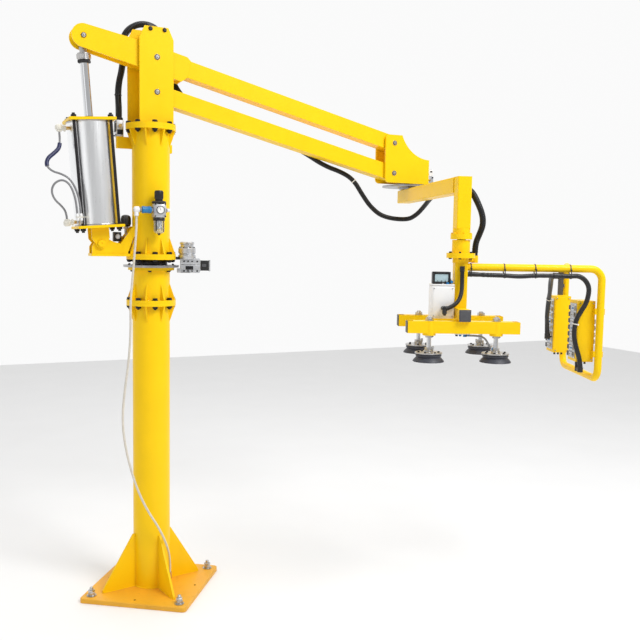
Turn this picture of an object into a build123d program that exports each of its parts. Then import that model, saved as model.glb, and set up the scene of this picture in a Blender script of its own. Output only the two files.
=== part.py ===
"""Pneumatic manipulator arm: a column-mounted balancing arm with a vacuum gripper.

Units are millimetres and degrees. The origin is on the floor at the column's axis,
+X runs along the arm from its tail to its tip, +Z is up and -Y is the operator's side.
Each moving body is drawn in a simple frame of its own and then set in its rest pose.
"""
import os
from math import atan2, cos, degrees, hypot, pi, radians, sin, tan

from build123d import *

os.makedirs("parts", exist_ok=True)

# ---- rest pose -------------------------------------------------------------
BASE_YAW = -35.0  # the base plate's edges against the arm
ARM_TILT = 13.5  # the beams point this far down
FOREARM_AZIMUTH = -107.3
TOOL_AZIMUTH = -23.4

# ---- column ----------------------------------------------------------------
PLATE_SIDE = 600.0
PLATE_THICK = 25.0
PLATE_CORNER = 22.0
ANCHOR_CIRCLE = 708.0
ANCHOR_HOLE = 22.0
LEVEL_CIRCLE = 510.0
LEVEL_HOLE = 14.0
GUSSET_THICK = 12.0
GUSSET_HEIGHT = 300.0
GUSSET_REACH = 190.0
COLUMN_OD = 203.0
COLUMN_WALL = 8.0
FLANGE_OD = 268.0
FLANGE_THICK = 16.0
BOLT_CIRCLE = 238.0
BOLT_COUNT = 8
BOLT_HOLE = 18.0
BOLT_PHASE = -94.0
RIB_THICK = 8.0
RIB_HEIGHT = 85.0
RIB_EDGE = 6.0
COLUMN_JOINT_Z = 1624.0  # meeting faces of the two lower flanges
SPOOL_TOP_Z = 1818.0
DISC_OD = 300.0
DISC_BORE = 100.0
DISC_THICK = 12.0
SWIVEL_GAP = 30.0
SPINDLE_OD = 84.0
SPOOL_PLATE_OD = 250.0
BUSH_OD = 120.0
BUSH_LENGTH = 60.0
FOOT_PLATE_THICK = 14.0
HEAD_JOINT_Z = 2572.0  # meeting faces of the two upper flanges
INLET_AZIMUTH = -52.0
INLET_Z = 80.0
INLET_REACH = 26.0
INLET_SOCKET = 25.0

FILTER_X = 4.0
FILTER_Y = -154.0
FILTER_Z = 2122.0
FILTER_ELBOW_DROP = 34.0

# ---- head ------------------------------------------------------------------
HEAD_PIN_X = 18.5
LINK_PIN_Z = 2755.0
PIN_SPACING = 182.0
PIN_OD = 30.0
PIN_CLEAR = 0.05
CHEEK_THICK = 12.0
CHEEK_GAP = 106.0
HEAD_LEFT = -76.0
HEAD_LEFT_REAR = -113.0
HEAD_RIGHT = 108.0
HEAD_TOP = 3094.0
HEAD_CHAMFER_X = 28.0
HEAD_CHAMFER_Z = 62.0
SPACER_OD = 26.0

# ---- beams -----------------------------------------------------------------
BEAM_LENGTH = 1518.0  # between the pins
BEAM_DEPTH = 90.0
BEAM_WIDTH = 90.0
BEAM_WALL = 6.0
TAIL_X = -385.0  # lift pin, in the upper beam's own frame
TAIL_Z = -17.0
TAIL_RADIUS = 60.0
TAIL_PLATE = 10.0
HUB_TOP = 61.0
HUB_BOTTOM = -76.0
HUB_END = 162.0
HUB_STEP = 26.0
LIFT_PIN_OD = 25.0

# ---- wrist -----------------------------------------------------------------
WRIST_OFFSET = 148.0  # from the beams' end pins to the wrist's axis
WRIST_FLOOR_Z = 2342.0
WRIST_FLOOR_THICK = 14.0
WRIST_DISC_OD = 334.0
WRIST_DISC_THICK = 10.0
WRIST_SPINDLE_OD = 50.0
WRIST_BEARING_OD = 96.0
WRIST_BEARING_HEIGHT = 60.0

# ---- lift cylinder ---------------------------------------------------------
FOOT_PIN_X = -280.0
FOOT_PIN_Z = 1944.0
BARREL_OD = 234.0
BARREL_WALL = 5.0
BARREL_START = 96.0  # from the foot pin, along the cylinder
BARREL_LENGTH = 540.0
END_PLATE = 240.0
END_PLATE_THICK = 14.0
TIE_ROD_OD = 16.0
TIE_ROD_PITCH = 188.0
ROD_OD = 45.0
PISTON_HEIGHT = 60.0
PISTON_TOP_GAP = 165.0
EYE_WIDTH = 40.0
EYE_RADIUS = 27.0
COLLAR_OD = 66.0
COLLAR_LENGTH = 34.0
EYE_HOLE = 20.0
LUG_THICK = 12.0
LUG_GAP = 94.0
LUG_WIDTH = 92.0
LUG_RADIUS = 28.0
BRACKET_GAP = 66.0
ELBOW_X = -163.0
ELBOW_Y = -40.0

# ---- forearm ---------------------------------------------------------------
FOREARM_LENGTH = 1101.0
FOREARM_BACK = 130.0
FOREARM_SECTION = 80.0
FOREARM_WALL = 5.0
FOREARM_TOP_Z = 2308.0
POST_SECTION = 72.0
POST_BOTTOM_Z = 2050.0
COLLAR_TOP_OD = 88.0
COLLAR_RING_OD = 108.0
COLLAR_RING_Z = 2023.0
COLLAR_BOTTOM_Z = 1996.0

# ---- vacuum tool -----------------------------------------------------------
HOUSING_OD = 90.0
HOUSING_TOP_Z = 1993.0
HOUSING_FLANGE_OD = 143.0
HOUSING_FLANGE_Z = 1902.0
HOUSING_FLANGE_THICK = 25.0
NECK_OD = 81.0
NECK_BOTTOM_Z = 1878.0
TOOL_SPINDLE_OD = 44.0
PORT_AZIMUTH = 5.0
PORT_Z = 1890.0
PORT_REACH = 92.0
PORT_TOP_Z = 1915.0
TOOL_POST = 65.0
CROSS_SECTION = 60.0
CROSS_Z = 1592.0  # underside of the middle tube, top of the cup beams
CROSS_FRONT = -150.0
CROSS_BACK = 272.0
CUP_BEAM_LENGTH = 556.0
CUP_PITCH = 335.0
CUP_CENTRE_Y = 61.0
SLEEVE_OD = 64.0
SLEEVE_DROP = 12.0
STEM_OD = 23.0
STEM_TOP_Z = 1604.0
CUP_TOP_Z = 1436.0
CUP_PLATE_OD = 136.0
CUP_PLATE_THICK = 6.0
CUP_LIP_OD = 156.0
CUP_HEIGHT = 40.0
HANDLE_OD = 38.0
HANDLE_WALL = 3.0
HANDLE_TOP_Z = 1857.0
HANDLE_BOTTOM_Z = 1290.0
HANDLE_X = 728.0
HANDLE_DEPTH = 550.0
HANDLE_BEND = 60.0
HANDLE_RETURN_X = 560.0
BOX_WIDTH = 90.0
BOX_DEPTH = 120.0
BOX_HEIGHT = 316.0
BOX_TOP_Z = 1692.0
BOX_X = 667.0
BOX_INSET = 30.0
CLAMP_HEIGHTS = (1420.0, 1640.0)
CLAMP_DEPTH = 30.0

# ---- hoses -----------------------------------------------------------------
SUPPLY_OD = 12.0
BUNDLE_OD = 36.0
ARM_HOSE_OD = 28.0
POST_HOSE_OD = 32.0
LOOM_OD = 24.0
TANK_HOSE_OD = 22.0
BRANCH_OD = 26.0
CUP_HOSE_OD = 10.0
LIFT_HOSE_OD = 11.0
RUN_SHARE = 0.45  # share of the shorter run that an arc's tangent takes

# ---- worked out ------------------------------------------------------------
CHEEK_OUT = CHEEK_GAP / 2 + CHEEK_THICK
BOOM_PIN_Z = LINK_PIN_Z + PIN_SPACING
END_X = HEAD_PIN_X + BEAM_LENGTH * cos(radians(ARM_TILT))
END_DROP = BEAM_LENGTH * sin(radians(ARM_TILT))
WRIST_X = END_X + WRIST_OFFSET
TOOL_X = WRIST_X + FOREARM_LENGTH * cos(radians(FOREARM_AZIMUTH))
TOOL_Y = FOREARM_LENGTH * sin(radians(FOREARM_AZIMUTH))
DISC_TOP_Z = SPOOL_TOP_Z + DISC_THICK
TURRET_Z = DISC_TOP_Z + SWIVEL_GAP
FOOT_PLATE_Z = TURRET_Z + FLANGE_THICK
TUBE_Z = FOOT_PLATE_Z + FOOT_PLATE_THICK

LIFT_PIN_X = HEAD_PIN_X + TAIL_X * cos(radians(ARM_TILT)) + TAIL_Z * sin(radians(ARM_TILT))
LIFT_PIN_Z = BOOM_PIN_Z - TAIL_X * sin(radians(ARM_TILT)) + TAIL_Z * cos(radians(ARM_TILT))
CYLINDER_LENGTH = hypot(LIFT_PIN_X - FOOT_PIN_X, LIFT_PIN_Z - FOOT_PIN_Z)
CYLINDER_LEAN = degrees(atan2(FOOT_PIN_X - LIFT_PIN_X, LIFT_PIN_Z - FOOT_PIN_Z))

INLET_X = (COLUMN_OD / 2 + INLET_REACH) * cos(radians(INLET_AZIMUTH))
INLET_Y = (COLUMN_OD / 2 + INLET_REACH) * sin(radians(INLET_AZIMUTH))
PORT_X = TOOL_X + PORT_REACH * cos(radians(PORT_AZIMUTH))
PORT_Y = TOOL_Y + PORT_REACH * sin(radians(PORT_AZIMUTH))

ROW = Location((0, 0, 0))
BASE = Location((0, 0, 0), (0, 0, BASE_YAW))
BOOM = Location((HEAD_PIN_X, 0, BOOM_PIN_Z), (0, ARM_TILT, 0))
LINK = Location((HEAD_PIN_X, 0, LINK_PIN_Z), (0, ARM_TILT, 0))
CYLINDER = Location((FOOT_PIN_X, 0, FOOT_PIN_Z), (0, -CYLINDER_LEAN, 0))
FOREARM = Location((WRIST_X, 0, 0), (0, 0, FOREARM_AZIMUTH))
TOOL = Location((TOOL_X, TOOL_Y, 0), (0, 0, TOOL_AZIMUTH))


def save(name, builder, where=ROW):
    """Set a finished piece in its rest pose and write it."""
    piece = builder.part.moved(where)
    piece.label = name
    export_step(piece, f"parts/{name}.step")


def ring_piece(z, thick, bore):
    """A round flange with its circle of bolt holes."""
    with BuildPart() as ring:
        with BuildSketch(Plane.XY.offset(z)):
            Circle(FLANGE_OD / 2)
            Circle(bore / 2, mode=Mode.SUBTRACT)
            with PolarLocations(BOLT_CIRCLE / 2, BOLT_COUNT, BOLT_PHASE):
                Circle(BOLT_HOLE / 2, mode=Mode.SUBTRACT)
        extrude(amount=thick)
    return ring


def tube_piece(z_low, z_high, outer, wall):
    """A plain upright tube."""
    with BuildPart() as tube:
        with BuildSketch(Plane.XY.offset(z_low)):
            Circle(outer / 2)
            Circle(outer / 2 - wall, mode=Mode.SUBTRACT)
        extrude(amount=z_high - z_low)
    return tube


def rib_planes():
    """Upright planes between the bolts, with x outwards from the column's axis."""
    step = 360 / BOLT_COUNT
    turns = [BOLT_PHASE + step * (k + 0.5) for k in range(BOLT_COUNT)]
    return [Plane(origin=(0, 0, 0), x_dir=(cos(radians(t)), sin(radians(t)), 0),
                  z_dir=(sin(radians(t)), -cos(radians(t)), 0)) for t in turns]


def save_ribs(name, rings):
    """Rings of triangular ribs, each standing on a flange (1) or hanging under it (-1)."""
    inner = COLUMN_OD / 2
    outer = FLANGE_OD / 2 - 3
    with BuildPart() as ribs:
        for z, direction in rings:
            for plane in rib_planes():
                with BuildSketch(plane):
                    with BuildLine():
                        Polyline((inner, z), (outer, z), (outer, z + direction * RIB_EDGE),
                                 (inner + 2, z + direction * RIB_HEIGHT),
                                 (inner, z + direction * RIB_HEIGHT), close=True)
                    make_face()
                extrude(amount=RIB_THICK / 2, both=True)
    save(name, ribs)


# ---- base ------------------------------------------------------------------
def base_plate():
    with BuildPart() as plate:
        with BuildSketch():
            RectangleRounded(PLATE_SIDE, PLATE_SIDE, PLATE_CORNER)
            with PolarLocations(ANCHOR_CIRCLE / 2, 4, 45):
                Circle(ANCHOR_HOLE / 2, mode=Mode.SUBTRACT)
            with PolarLocations(LEVEL_CIRCLE / 2, 4):
                Circle(LEVEL_HOLE / 2, mode=Mode.SUBTRACT)
        extrude(amount=PLATE_THICK)
        chamfer(plate.faces().sort_by(Axis.Z)[-1].outer_wire().edges(), 2)
    save("base_plate", plate, BASE)


def base_gussets():
    inner = COLUMN_OD / 2
    with BuildPart() as gussets:
        for turn in (45, 135, 225, 315):
            along = (cos(radians(turn)), sin(radians(turn)), 0)
            across = (sin(radians(turn)), -cos(radians(turn)), 0)
            with BuildSketch(Plane(origin=(0, 0, PLATE_THICK), x_dir=along, z_dir=across)):
                with BuildLine():
                    Polyline((inner, 0), (inner + GUSSET_REACH, 0), (inner + GUSSET_REACH, 12),
                             (inner + 12, GUSSET_HEIGHT), (inner, GUSSET_HEIGHT), close=True)
                make_face()
            extrude(amount=GUSSET_THICK / 2, both=True)
    save("base_gussets", gussets, BASE)


def spool():
    """Short tube over the lower joint, closed by the plate and bush that carry the spindle."""
    low = COLUMN_JOINT_Z + FLANGE_THICK
    plate_low = SPOOL_TOP_Z - FLANGE_THICK
    with BuildPart() as tube:
        with BuildSketch(Plane.XY.offset(low)):
            Circle(COLUMN_OD / 2)
            Circle(COLUMN_OD / 2 - COLUMN_WALL, mode=Mode.SUBTRACT)
        extrude(amount=plate_low - low)
        with BuildSketch(Plane.XY.offset(plate_low)):
            Circle(SPOOL_PLATE_OD / 2)
        extrude(amount=FLANGE_THICK)
        with BuildSketch(Plane.XY.offset(plate_low)):
            Circle(BUSH_OD / 2)
        extrude(amount=-BUSH_LENGTH)
        with BuildSketch(Plane.XY.offset(plate_low - BUSH_LENGTH)):
            Circle(SPINDLE_OD / 2 + PIN_CLEAR)
        extrude(amount=BUSH_LENGTH + FLANGE_THICK, mode=Mode.SUBTRACT)
    save("spool", tube)


def supply_inlet():
    """Bulkhead elbow on the column's foot where the supply hose goes in."""
    turn = radians(INLET_AZIMUTH)
    out = Plane(origin=(0, 0, INLET_Z), x_dir=(0, 0, 1), z_dir=(cos(turn), sin(turn), 0))
    reach = COLUMN_OD / 2 + INLET_REACH
    with BuildPart() as inlet:
        with BuildSketch(out.offset(COLUMN_OD / 2 - 10)):
            Circle(17)
        extrude(amount=18)
        with BuildSketch(out.offset(COLUMN_OD / 2)):
            Circle(8)
        extrude(amount=INLET_REACH)
        with BuildSketch(Plane.XY.offset(INLET_Z - 12)):
            with Locations((reach * cos(turn), reach * sin(turn))):
                Circle(11)
        extrude(amount=INLET_SOCKET + 12)
        with BuildSketch(Plane.XY.offset(INLET_Z - 30)):
            Circle(COLUMN_OD / 2)
        extrude(amount=60, mode=Mode.SUBTRACT)
    save("supply_inlet", inlet)


def brake_disc():
    with BuildPart() as disc:
        with BuildSketch(Plane.XY.offset(SPOOL_TOP_Z)):
            Circle(DISC_OD / 2)
            Circle(DISC_BORE / 2, mode=Mode.SUBTRACT)
        extrude(amount=DISC_THICK)
    save("column_brake_disc", disc)


# ---- turret ----------------------------------------------------------------
def swivel_spindle():
    with BuildPart() as spindle:
        with BuildSketch(Plane.XY.offset(TURRET_Z)):
            Circle(FLANGE_OD / 2)
            with PolarLocations(BOLT_CIRCLE / 2, BOLT_COUNT, BOLT_PHASE):
                Circle(BOLT_HOLE / 2, mode=Mode.SUBTRACT)
        extrude(amount=FLANGE_THICK)
        with Locations((0, 0, TURRET_Z)):
            Cylinder(SPINDLE_OD / 2, SWIVEL_GAP + DISC_THICK + BUSH_LENGTH,
                     align=(Align.CENTER, Align.CENTER, Align.MAX))
    save("swivel_spindle", spindle)


def foot_plate():
    """Plate between the turret tube and its flange; its long end carries the cylinder."""
    half = BRACKET_GAP / 2 + LUG_THICK + 6
    left = FOOT_PIN_X - 50
    with BuildPart() as plate:
        with BuildSketch(Plane.XY.offset(FOOT_PLATE_Z)):
            Circle(FLANGE_OD / 2)
            with Locations((left / 2, 0)):
                Rectangle(-left, 2 * half)
            with PolarLocations(BOLT_CIRCLE / 2, BOLT_COUNT, BOLT_PHASE):
                Circle(BOLT_HOLE / 2, mode=Mode.SUBTRACT)
        extrude(amount=FOOT_PLATE_THICK)
    save("foot_plate", plate)


def cylinder_bracket():
    """Two cheeks on the foot plate, each with a boss for the cylinder's foot pin."""
    low = TUBE_Z
    pin_x = FOOT_PIN_X
    rib = -FLANGE_OD / 2 - 2  # stands clear of the ribs, then runs up to the tube
    tube = -COLUMN_OD / 2 + 4.5
    outline = [(pin_x - 46, low), (rib, low), (rib, low + 8), (tube - 9, low + RIB_HEIGHT + 5),
               (tube, low + RIB_HEIGHT + 5), (tube, low + 148), (tube - 12, low + 148),
               (pin_x + 104, low + 54), (pin_x + 66, low + 64), (pin_x + 34, FOOT_PIN_Z + 26),
               (pin_x - 20, FOOT_PIN_Z + 26), (pin_x - 46, low + 36)]
    with BuildPart() as cheeks:
        for y_low in (-BRACKET_GAP / 2 - LUG_THICK, BRACKET_GAP / 2):
            with BuildSketch(Plane.XZ.offset(-y_low - LUG_THICK)):
                with BuildLine():
                    Polyline(*outline, close=True)
                make_face()
                with Locations((pin_x, FOOT_PIN_Z)):
                    Circle(LIFT_PIN_OD / 2, mode=Mode.SUBTRACT)
            extrude(amount=LUG_THICK)
    save("cylinder_bracket", cheeks)


def head_outline(left, low):
    top = HEAD_TOP
    return [(left, low), (HEAD_RIGHT, low), (HEAD_RIGHT, top - HEAD_CHAMFER_Z),
            (HEAD_RIGHT - HEAD_CHAMFER_X, top), (left + HEAD_CHAMFER_X, top),
            (left, top - HEAD_CHAMFER_Z)]


def head_plate(name, left, y_low):
    low = HEAD_JOINT_Z + FLANGE_THICK
    with BuildPart() as plate:
        with BuildSketch(Plane.XZ.offset(-y_low - CHEEK_THICK)):
            with BuildLine():
                Polyline(*head_outline(left, low), close=True)
            make_face()
            with Locations((HEAD_PIN_X, LINK_PIN_Z), (HEAD_PIN_X, BOOM_PIN_Z)):
                Circle(PIN_OD / 2, mode=Mode.SUBTRACT)
        extrude(amount=CHEEK_THICK)
    save(name, plate)


def turret_pins():
    """The two beam pins, the two spacers at the top and the lift cylinder's foot pin."""
    half = CHEEK_OUT + 3
    foot_half = LUG_GAP / 2 + LUG_THICK + 2
    with BuildPart() as pins:
        for x, z, radius, reach in ((HEAD_PIN_X, LINK_PIN_Z, PIN_OD / 2, half),
                                    (HEAD_PIN_X, BOOM_PIN_Z, PIN_OD / 2, half),
                                    (-17, HEAD_TOP - 13, SPACER_OD / 2, CHEEK_GAP / 2),
                                    (59, HEAD_TOP - 13, SPACER_OD / 2, CHEEK_GAP / 2),
                                    (FOOT_PIN_X, FOOT_PIN_Z, LIFT_PIN_OD / 2, foot_half)):
            with BuildSketch(Plane.XZ.offset(-reach)):
                with Locations((x, z)):
                    Circle(radius)
            extrude(amount=2 * reach)
    save("turret_pins", pins)


def valve_bracket():
    """Arm on the back of the turret tube with the lift valve standing on it."""
    arm_low = HEAD_JOINT_Z - 112
    valve_low = arm_low + 62
    with BuildPart() as arm:
        with BuildSketch(Plane.XY.offset(arm_low)):
            with Locations((-172, 66)):
                Rectangle(130, 20, align=(Align.MIN, Align.MIN))
            Circle(COLUMN_OD / 2, mode=Mode.SUBTRACT)
        extrude(amount=62)
        with BuildSketch(Plane.XY.offset(valve_low)):
            with Locations((-172, 64)):
                Rectangle(38, 52, align=(Align.MIN, Align.MIN))
        extrude(amount=88)
    save("valve_bracket", arm)


def filter_regulator():
    """Air preparation set on the front of the column: body, knob, slide valve and elbow."""
    x, y, z = FILTER_X, FILTER_Y, FILTER_Z
    across = Plane(origin=(x, y, z + 3), x_dir=(0, 1, 0), z_dir=(-1, 0, 0))
    with BuildPart() as unit:
        with BuildSketch(Plane.XY.offset(z - 37)):
            with Locations((x, y)):
                RectangleRounded(66, 62, 8)
        extrude(amount=74)
        with BuildSketch(Plane.XY.offset(z + 37)):
            with Locations((x, y)):
                Circle(38)
        extrude(amount=14)
        with BuildSketch(Plane.XY.offset(z + 51)):
            with Locations((x, y)):
                Circle(23)
        extrude(amount=56)
        with BuildSketch(Plane.XY.offset(z - 22)):
            with Locations((x, (y - COLUMN_OD / 2) / 2)):
                Rectangle(44, -COLUMN_OD / 2 - y - 1)
            Circle(COLUMN_OD / 2, mode=Mode.SUBTRACT)
        extrude(amount=44)
        for start, length, radius in ((30, 80, 12), (42, 50, 19), (105, 30, 16), (-60, 30, 11)):
            with BuildSketch(across.offset(start)):
                Circle(radius)
            extrude(amount=length)
        with BuildSketch(Plane.XY.offset(z + 3)):
            with Locations((x - 120, y)):
                Circle(11)
        extrude(amount=-FILTER_ELBOW_DROP)
    save("filter_regulator", unit)
    with BuildPart() as bowl:
        with BuildSketch(Plane.XZ.offset(-y)):
            with BuildLine():
                Polyline((x, z - 37), (x + 29, z - 37), (x + 29, z - 108), (x + 20, z - 120),
                         (x + 8, z - 120), (x + 8, z - 130), (x, z - 130), close=True)
            make_face()
        revolve(axis=Axis((x, y, 0), (0, 0, 1)))
    save("filter_bowl", bowl)


def column_brake():
    """Pneumatic caliper on the turret, straddling the column's brake disc."""
    turn = -14.0
    with BuildPart() as brake:
        with Locations((210, 0, DISC_TOP_Z + 5)):
            Box(110, 60, 34, align=(Align.CENTER, Align.CENTER, Align.MIN))
        with Locations((217, 0, DISC_TOP_Z - 42)):
            Box(96, 60, 48, align=(Align.CENTER, Align.CENTER, Align.MIN))
        with Locations((140, 0, SPOOL_TOP_Z - 30)):
            Box(70, 60, 25, align=(Align.MIN, Align.CENTER, Align.MIN))
        with Locations((195, 0, DISC_TOP_Z + 30)):
            Cylinder(48, 100, align=(Align.CENTER, Align.CENTER, Align.MIN))
        with Locations((260, 0, SPOOL_TOP_Z - 20)):
            Box(62, 52, 62, align=(Align.MIN, Align.CENTER, Align.MIN))
        with Locations((FLANGE_OD / 2 - 1, 0, TURRET_Z)):
            Box(40, 60, 16, align=(Align.MIN, Align.CENTER, Align.MIN))
        with Locations((0, 0, SPOOL_TOP_Z - 5)):
            Cylinder(DISC_OD / 2 + 6, DISC_THICK + 10, align=(Align.CENTER, Align.CENTER, Align.MIN),
                     mode=Mode.SUBTRACT)
        with Locations((0, 0, TURRET_Z - 1)):
            Cylinder(FLANGE_OD / 2, 30, align=(Align.CENTER, Align.CENTER, Align.MIN), mode=Mode.SUBTRACT)
    save("column_brake", brake, Location((0, 0, 0), (0, 0, turn)))


# ---- upper beam ------------------------------------------------------------
def boom():
    half = BEAM_WIDTH / 2
    gap = half - TAIL_PLATE
    hub_right = HUB_END + HUB_STEP
    beam = BEAM_DEPTH / 2
    tail_top = TAIL_Z + TAIL_RADIUS
    tail_low = TAIL_Z - TAIL_RADIUS
    with BuildPart() as plates:
        for y_low in (-half, gap):
            with BuildSketch(Plane.XZ.offset(-y_low - TAIL_PLATE)):
                with BuildLine():
                    Polyline((TAIL_X, tail_top), (-60, HUB_TOP), (HUB_END, HUB_TOP), (hub_right, beam),
                             (hub_right, -beam), (HUB_END, HUB_BOTTOM), (-60, HUB_BOTTOM),
                             (TAIL_X, tail_low))
                    ThreePointArc((TAIL_X, tail_low), (TAIL_X - TAIL_RADIUS, TAIL_Z), (TAIL_X, tail_top))
                make_face()
                with Locations((0, 0)):
                    Circle(PIN_OD / 2 + PIN_CLEAR, mode=Mode.SUBTRACT)
                with Locations((TAIL_X, TAIL_Z)):
                    Circle(LIFT_PIN_OD / 2, mode=Mode.SUBTRACT)
            extrude(amount=TAIL_PLATE)
    save("boom_tail_plates", plates, BOOM)

    with BuildPart() as hub:
        with BuildSketch(Plane.XZ.offset(-gap)):
            with Locations((-8, (HUB_TOP + HUB_BOTTOM) / 2)):
                Rectangle(44, HUB_TOP - HUB_BOTTOM - 8)
            with Locations((hub_right - 28, 0)):
                Rectangle(56, BEAM_DEPTH - 4)
            with Locations((60, HUB_TOP - 10)):
                Rectangle(150, 10)
            with Locations((60, HUB_BOTTOM + 12)):
                Rectangle(150, 10)
            Circle(PIN_OD / 2 + PIN_CLEAR, mode=Mode.SUBTRACT)
        extrude(amount=2 * gap)
    save("boom_hub", hub, BOOM)

    save("boom_beam", beam_tube(hub_right, BEAM_LENGTH), BOOM)


def beam_tube(start, end):
    """Square tube from start to a solid rounded end block around the end pin."""
    half = BEAM_WIDTH / 2
    depth = BEAM_DEPTH / 2
    inner = half - BEAM_WALL
    with BuildPart() as tube:
        with BuildSketch(Plane.XZ.offset(-half)):
            with BuildLine():
                Polyline((end, depth), (start, depth), (start, -depth), (end, -depth))
                ThreePointArc((end, -depth), (end + depth, 0), (end, depth))
            make_face()
            with Locations((end, 0)):
                Circle(PIN_OD / 2 + PIN_CLEAR + 0.5, mode=Mode.SUBTRACT)
        extrude(amount=2 * half)
        with BuildSketch(Plane.YZ.offset(start)):
            RectangleRounded(2 * inner, 2 * inner, 4)
        extrude(amount=end - 45 - start, mode=Mode.SUBTRACT)
    return tube


# ---- lower beam ------------------------------------------------------------
def link():
    half = BEAM_WIDTH / 2
    depth = BEAM_DEPTH / 2
    inner = half - BEAM_WALL
    with BuildPart() as beam:
        with BuildSketch(Plane.XZ.offset(-half)):
            SlotOverall(BEAM_LENGTH + BEAM_DEPTH, BEAM_DEPTH)
            with Locations((-BEAM_LENGTH / 2, 0), (BEAM_LENGTH / 2, 0)):
                Circle(PIN_OD / 2 + PIN_CLEAR, mode=Mode.SUBTRACT)
        extrude(amount=2 * half)
        with BuildSketch(Plane.YZ.offset(-BEAM_LENGTH / 2 + 45)):
            RectangleRounded(2 * inner, 2 * (depth - BEAM_WALL), 4)
        extrude(amount=BEAM_LENGTH - 90, mode=Mode.SUBTRACT)
    save("link_beam", beam, LINK * Location((BEAM_LENGTH / 2, 0, 0)))


# ---- wrist -----------------------------------------------------------------
def wrist_plates():
    low = WRIST_FLOOR_Z
    pin_low = LINK_PIN_Z - END_DROP
    pin_high = BOOM_PIN_Z - END_DROP
    left = END_X - 62
    right = WRIST_X + 104
    with BuildPart() as plates:
        for y_low in (-CHEEK_OUT, CHEEK_GAP / 2):
            with BuildSketch(Plane.XZ.offset(-y_low - CHEEK_THICK)) as outline:
                with BuildLine():
                    Polyline((right, low), (left, low), (left, pin_high + 50), (END_X + 54, pin_high + 50))
                    ThreePointArc((END_X + 54, pin_high + 50), (END_X + 120, pin_high - 42),
                                  (right, low + 150))
                    Line((right, low + 150), (right, low))
                make_face()
                corners = outline.vertices().sort_by(Axis.X)[:2]
                fillet(corners, 26)
                with Locations((END_X, pin_low), (END_X, pin_high)):
                    Circle(PIN_OD / 2, mode=Mode.SUBTRACT)
            extrude(amount=CHEEK_THICK)
    save("wrist_plates", plates)


def wrist_floor():
    """Floor and end web between the wrist's plates, with the forearm's bearing."""
    left = END_X + BEAM_DEPTH / 2 + 8
    right = WRIST_X + 104
    with BuildPart() as floor:
        with Locations(((left + right) / 2, 0, WRIST_FLOOR_Z)):
            Box(right - left, CHEEK_GAP, WRIST_FLOOR_THICK, align=(Align.CENTER, Align.CENTER, Align.MIN))
        with Locations((right, 0, WRIST_FLOOR_Z)):
            Box(10, CHEEK_GAP, 140, align=(Align.MAX, Align.CENTER, Align.MIN))
        with Locations((WRIST_X, 0, WRIST_FLOOR_Z)):
            Cylinder(WRIST_BEARING_OD / 2, WRIST_BEARING_HEIGHT,
                     align=(Align.CENTER, Align.CENTER, Align.MIN))
        with Locations((WRIST_X, 0, WRIST_FLOOR_Z + WRIST_BEARING_HEIGHT)):
            Hole(WRIST_SPINDLE_OD / 2 + PIN_CLEAR, WRIST_BEARING_HEIGHT)
    save("wrist_floor", floor)


def wrist_pins():
    """Both pins of the beams' ends, right through the wrist's plates."""
    half = CHEEK_OUT + 3
    with BuildPart() as pins:
        for drop_from in (LINK_PIN_Z, BOOM_PIN_Z):
            with BuildSketch(Plane.XZ.offset(-half)):
                with Locations((END_X, drop_from - END_DROP)):
                    Circle(PIN_OD / 2)
            extrude(amount=2 * half)
    save("wrist_pins", pins)


def wrist_brake():
    """Caliper at the wrist's end, pressing on the top of the forearm's disc."""
    right = WRIST_X + 104
    disc_top = FOREARM_TOP_Z + 12 + WRIST_DISC_THICK
    with BuildPart() as brake:
        with Locations((right, 0, disc_top + 20)):
            Box(58, 60, 92, align=(Align.MIN, Align.CENTER, Align.MIN))
        with Locations((right + 28, 0, disc_top + 1)):
            Cylinder(17, 20, align=(Align.CENTER, Align.CENTER, Align.MIN))
    save("wrist_brake", brake)


# ---- lift cylinder ---------------------------------------------------------
def elbow_heights():
    return (BARREL_START + 22, BARREL_START + BARREL_LENGTH - 36)


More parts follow.
